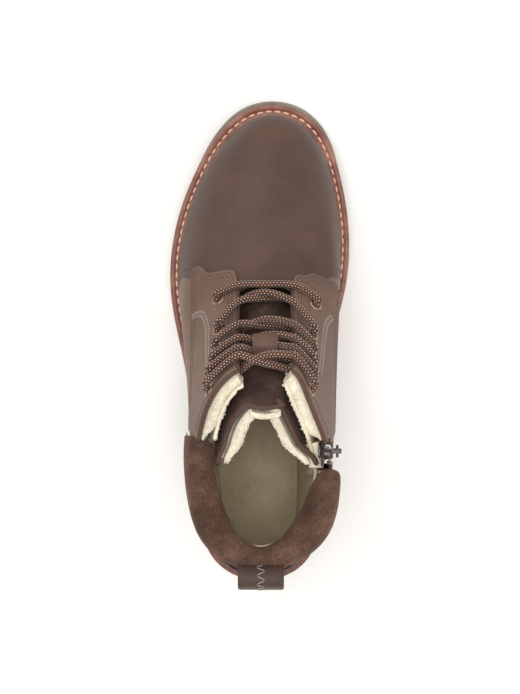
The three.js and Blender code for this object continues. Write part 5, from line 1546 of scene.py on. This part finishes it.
def build_zip():
    for name, s in (("front", -1), ("rear", 1)):
        d = np.linspace(0, ZIP_LENGTH + 3, 40)
        path = zip_point(s * (0.65 + 4.25), d, -4.15)
        tape = sweep(f"zip_tape_{name}", path, [(x * 4.25, y * 0.42) for x, y in super_section(12)],
                     ups=np.tile(ZIP_OUT, (len(d), 1)))
        finish(tape, "boot", MATS["tape"], [f"zip_tape_{name}"])
        cord = sweep(f"zip_cord_{name}", zip_point(s * 3.1, d[:-3], -3.3), round_section(0.5, 8),
                     ups=np.tile(ZIP_OUT, (len(d) - 3, 1)))
        finish(cord, "boot", MATS["tape"])
        steps = 1.9 + np.arange(TEETH) * TOOTH_PITCH + (TOOTH_PITCH / 2 if s > 0 else 0)
        line = new_object(f"zip_teeth_{name}", metres(zip_point(s * 1.65, steps, -1.5)), [])
        teeth = run_tree(line, TREES["teeth"], {"Across": tuple(-s * ZIP_ACROSS), "Out": tuple(ZIP_OUT),
                                                "Material": MATS["gun"]})
        teeth.data.shade_flat()
        finish(teeth, "boot", MATS["gun"], [f"zip_teeth_{name}"])
    stop = prism("zip_bottom_stop", rounded(6.6, 3.4, 0.9, (0, ZIP_LENGTH - 1.8)), -3.4, 0.9)
    bevelled(stop, 0.3, 2, 40)
    finish(stop, "boot", MATS["gun"], ["zip_bottom_stop"])

    # leather edge folded in round the zip's opening, and the fleece guard behind it
    d = np.linspace(2, ZIP_LENGTH + 1, 40)
    for name, s in (("front", -1), ("rear", 1)):
        u = zip_u(np.interp(d, [0, ZIP_LENGTH], [6, 2.95]))
        ups = surf_normal(u, np.interp(d, [0, ZIP_LENGTH], [5.9, 2.95]))
        fold = sweep(f"zip_fold_{name}", zip_point(s * 6.2, d, 0.1), [(x * 0.9, y * 0.8) for x, y in
                                                                      round_section(1, 10)], ups=ups)
        finish(fold, "boot", MATS["edge"])

    def guard_back(u, v):
        return -10.4 + 5.4 * step((v - 4.9) / 0.5), 0.0
    guard = panel("zip_guard", lambda t: zip_u(2.6 + 3.3 * t) - 0.34, lambda t: zip_u(2.6 + 3.3 * t) + 0.4,
                  2.6, 5.93, fleece(flat_rule(-12.2), 0.5, 41), guard_back, 30, 70, 0)
    finish(guard, "boot", MATS["wool"], ["zip_guard"])

    top, low = 0.9, -5.6
    y = SLIDER_REST
    plate = [(-4.2, y - 4.2), (-3.3, y - 5.6), (-1.4, y - 6), (1.4, y - 6), (3.3, y - 5.6), (4.2, y - 4.2),
             (4.2, y + 1), (3.7, y + 4.4), (2.9, y + 6), (-2.9, y + 6), (-3.7, y + 4.4), (-4.2, y + 1)]
    parts = [prism("slider_plate", plate, top, top + 1.4), prism("slider_back", plate, low - 0.6, low + 0.7),
             prism("slider_post", [(-0.35, y - 5), (0.35, y - 5), (0.35, y + 1), (-0.35, y + 1)], low,
                   top + 0.2)]
    for p in parts[:2]:
        bevelled(p, 0.35, 2, 40)
        apply_modifiers(p)
    arch = smooth_path([(0, y - 2.0, top + 1.2), (0, y - 2.0, top + 3.6), (0, y - 1.4, top + 5.3),
                        (0, y, top + 5.8), (0, y + 1.4, top + 5.3), (0, y + 2.0, top + 3.6),
                        (0, y + 2.0, top + 1.2)], 5)
    path = zip_point(arch[:, 0], arch[:, 1], arch[:, 2])
    parts.append(sweep("slider_bail", path, [(x * 0.55, z * 1.5) for x, z in super_section(8)],
                       ups=np.tile(ZIP_ACROSS, (len(path), 1))))
    slider = join("zip_slider", parts)
    finish(slider, "slider", MATS["gun"], ["zip_slider"])

    pull = (top + 3.05, top + 4.55)
    a = y - 0.75
    eye = prism("puller_eye", rounded(7.2, 12, 2.2, (0, a + 6)), *pull,
                hole=rounded(4.2, 8.2, 1.2, (0, a + 5.6)))
    tab = prism("puller_tab", rounded(5.2, 13.4, 1.4, (0, a + 17.2)), *pull,
                hole=rounded(1.8, 5.4, 0.85, (0, a + 19)))
    for p in (eye, tab):
        bevelled(p, 0.35, 2, 40)
        apply_modifiers(p)
    puller = join("zip_puller", [eye, tab])
    finish(puller, "puller", MATS["gun"], ["zip_puller"])


# ---------------------------------------------------------------- what stays from the frame
def dress_frame():
    for name, mat in (("shank", "gun"), ("insole_board", "board"), ("toe_puff", "board"),
                      ("heel_counter", "board")):
        paint(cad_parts[name], MATS[mat])


# ---------------------------------------------------------------- stage
CAMERA_HEIGHT = 1.5
CAMERA_LENS_MM = 121.07
# name, place, aim, size and power of each soft lamp, in metres and watts
LAMPS = [("key", (-1.0, 0.9, 1.6), (0, 0, 0.05), 1.1, 16.0),
         ("fill", (1.3, -0.2, 1.3), (0, 0, 0.05), 1.3, 9.0),
         ("back", (0.1, -1.4, 1.2), (0, 0, 0.08), 1.2, 7.0),
         ("top", (0, -0.05, 2.2), (0, -0.05, 0), 1.0, 15.0)]


def build_stage(colours):
    scene = bpy.context.scene
    cam_data = bpy.data.cameras.new("camera")
    cam_data.sensor_width = 36.0
    cam_data.lens = CAMERA_LENS_MM
    cam = bpy.data.objects.new("camera", cam_data)
    cam.location = (-FRAME_SHIFT[0] / 1000, -FRAME_SHIFT[1] / 1000, CAMERA_HEIGHT)
    scene.collection.objects.link(cam)
    scene.camera = cam
    floor = new_object("floor", [(-4, -4, 0), (4, -4, 0), (4, 4, 0), (-4, 4, 0)], [(0, 1, 2, 3)],
                       smooth=False)
    mat, _, shader = start_material("matt_paper_floor")
    shader.inputs["Base Color"].default_value = tuple(colours.floor) + (1.0,)
    shader.inputs["Roughness"].default_value = 0.9
    shader.inputs["Specular IOR Level"].default_value = 0.1
    paint(floor, mat)
    world = bpy.data.worlds.new("soft_room")
    world.use_nodes = True
    back = world.node_tree.nodes["Background"]
    back.inputs[0].default_value = (1.0, 0.965, 0.935, 1.0)
    back.inputs[1].default_value = 0.68
    scene.world = world
    for name, place, aim, size, power in LAMPS:
        data = bpy.data.lights.new(name, "AREA")
        data.size = size
        data.energy = power
        lamp = bpy.data.objects.new(name, data)
        lamp.location = place
        lamp.rotation_euler = (Vector(aim) - Vector(place)).to_track_quat("-Z", "Y").to_euler()
        scene.collection.objects.link(lamp)
    scene.view_settings.view_transform = "Standard"


# ---------------------------------------------------------------- add-on
def prepare():
    make_materials()
    TREES.update({"stitch": stitch_tree(), "pile": pile_tree(), "teeth": teeth_tree()})


class BootSettings(bpy.types.PropertyGroup):
    welt_pitch: FloatProperty(name="Rim stitch pitch", description="Spacing of the stitches round the rim",
                              default=0.0055, min=0.002, max=0.02, unit="LENGTH")
    seam_pitch: FloatProperty(name="Seam pitch", description="Spacing of the stitches on the upper",
                              default=0.0028, min=0.001, max=0.01, unit="LENGTH")
    lace_radius: FloatProperty(name="Lace radius", description="Half the thickness of the round lace",
                               default=0.0022, min=0.0005, max=0.005, unit="LENGTH")
    tuft: FloatProperty(name="Wool tuft", description="Size of one tuft of the fleece", default=0.001,
                        min=0.0004, max=0.005, unit="LENGTH")
    collar_fill: FloatProperty(name="Collar fill", description="How firmly the collar is stuffed",
                               default=0.7, min=0.0, max=1.0, subtype="FACTOR")
    floor: FloatVectorProperty(name="Floor colour", description="Colour of the floor", subtype="COLOR",
                               size=3, default=linear("#f4f3f1")[:3], min=0.0, max=1.0)


class BOOT_OT_prepare(bpy.types.Operator):
    """Make the materials and the node trees"""
    bl_idname = "boot.prepare"
    bl_label = "Materials"

    def execute(self, context):
        prepare()
        return {"FINISHED"}


class BOOT_OT_stage(bpy.types.Operator):
    """Set the camera, floor and lights"""
    bl_idname = "boot.stage"
    bl_label = "Stage"

    def execute(self, context):
        build_stage(context.scene.boot)
        return {"FINISHED"}


class BOOT_OT_sole(bpy.types.Operator):
    """Build the outsole, heel, midsole, rim and footbed"""
    bl_idname = "boot.sole"
    bl_label = "Sole"

    def execute(self, context):
        build_sole(context.scene.boot)
        return {"FINISHED"}


class BOOT_OT_vamp(bpy.types.Operator):
    """Build the front of the upper"""
    bl_idname = "boot.vamp"
    bl_label = "Vamp"

    def execute(self, context):
        build_vamp()
        return {"FINISHED"}


class BOOT_OT_sides(bpy.types.Operator):
    """Build the side panels, facings and their seams"""
    bl_idname = "boot.sides"
    bl_label = "Sides"

    def execute(self, context):
        build_sides(context.scene.boot)
        return {"FINISHED"}


class BOOT_OT_linings(bpy.types.Operator):
    """Build the wadding, fleece and felt linings"""
    bl_idname = "boot.linings"
    bl_label = "Linings"

    def execute(self, context):
        build_linings(context.scene.boot)
        return {"FINISHED"}


class BOOT_OT_tongue(bpy.types.Operator):
    """Build the padded tongue and hide the gussets"""
    bl_idname = "boot.tongue"
    bl_label = "Tongue"

    def execute(self, context):
        build_tongue(context.scene.boot)
        return {"FINISHED"}


class BOOT_OT_collar(bpy.types.Operator):
    """Build the padded collar"""
    bl_idname = "boot.collar"
    bl_label = "Collar"

    def execute(self, context):
        build_collar(context.scene.boot)
        return {"FINISHED"}


class BOOT_OT_eyelets(bpy.types.Operator):
    """Build the twelve eyelets"""
    bl_idname = "boot.eyelets"
    bl_label = "Eyelets"

    def execute(self, context):
        build_eyelets()
        return {"FINISHED"}


class BOOT_OT_lace(bpy.types.Operator):
    """Build the lace"""
    bl_idname = "boot.lace"
    bl_label = "Lace"

    def execute(self, context):
        build_lace(context.scene.boot)
        return {"FINISHED"}


class BOOT_OT_keeper(bpy.types.Operator):
    """Build the loop that holds the lace"""
    bl_idname = "boot.keeper"
    bl_label = "Lace keeper"

    def execute(self, context):
        build_keeper()
        return {"FINISHED"}


class BOOT_OT_pull_loop(bpy.types.Operator):
    """Build the loop at the heel"""
    bl_idname = "boot.pull_loop"
    bl_label = "Pull loop"

    def execute(self, context):
        build_pull_loop()
        return {"FINISHED"}


class BOOT_OT_zip(bpy.types.Operator):
    """Build the side zip, its slider and puller"""
    bl_idname = "boot.zip"
    bl_label = "Zip"

    def execute(self, context):
        build_zip()
        return {"FINISHED"}


class BOOT_OT_frame_parts(bpy.types.Operator):
    """Give the kept parts their materials"""
    bl_idname = "boot.frame_parts"
    bl_label = "Stiffeners"

    def execute(self, context):
        dress_frame()
        return {"FINISHED"}


STEPS = [BOOT_OT_prepare, BOOT_OT_stage, BOOT_OT_sole, BOOT_OT_vamp, BOOT_OT_sides, BOOT_OT_linings,
         BOOT_OT_tongue, BOOT_OT_collar, BOOT_OT_eyelets, BOOT_OT_lace, BOOT_OT_keeper,
         BOOT_OT_pull_loop, BOOT_OT_zip, BOOT_OT_frame_parts]


class BOOT_PT_panel(bpy.types.Panel):
    bl_idname = "BOOT_PT_panel"
    bl_label = "Boot"
    bl_space_type = "VIEW_3D"
    bl_region_type = "UI"
    bl_category = "Boot"

    def draw(self, context):
        for key in BootSettings.__annotations__:
            self.layout.prop(context.scene.boot, key)
        for step_class in STEPS:
            self.layout.operator(step_class.bl_idname)


def register():
    for c in [BootSettings, *STEPS, BOOT_PT_panel]:
        bpy.utils.register_class(c)
    bpy.types.Scene.boot = PointerProperty(type=BootSettings)


def unregister():
    del bpy.types.Scene.boot
    for c in reversed([BootSettings, *STEPS, BOOT_PT_panel]):
        bpy.utils.unregister_class(c)


def main():
    register()
    for step_class in STEPS:
        group, name = step_class.bl_idname.split(".")
        getattr(getattr(bpy.ops, group), name)()


if __name__ == "__main__":
    main()
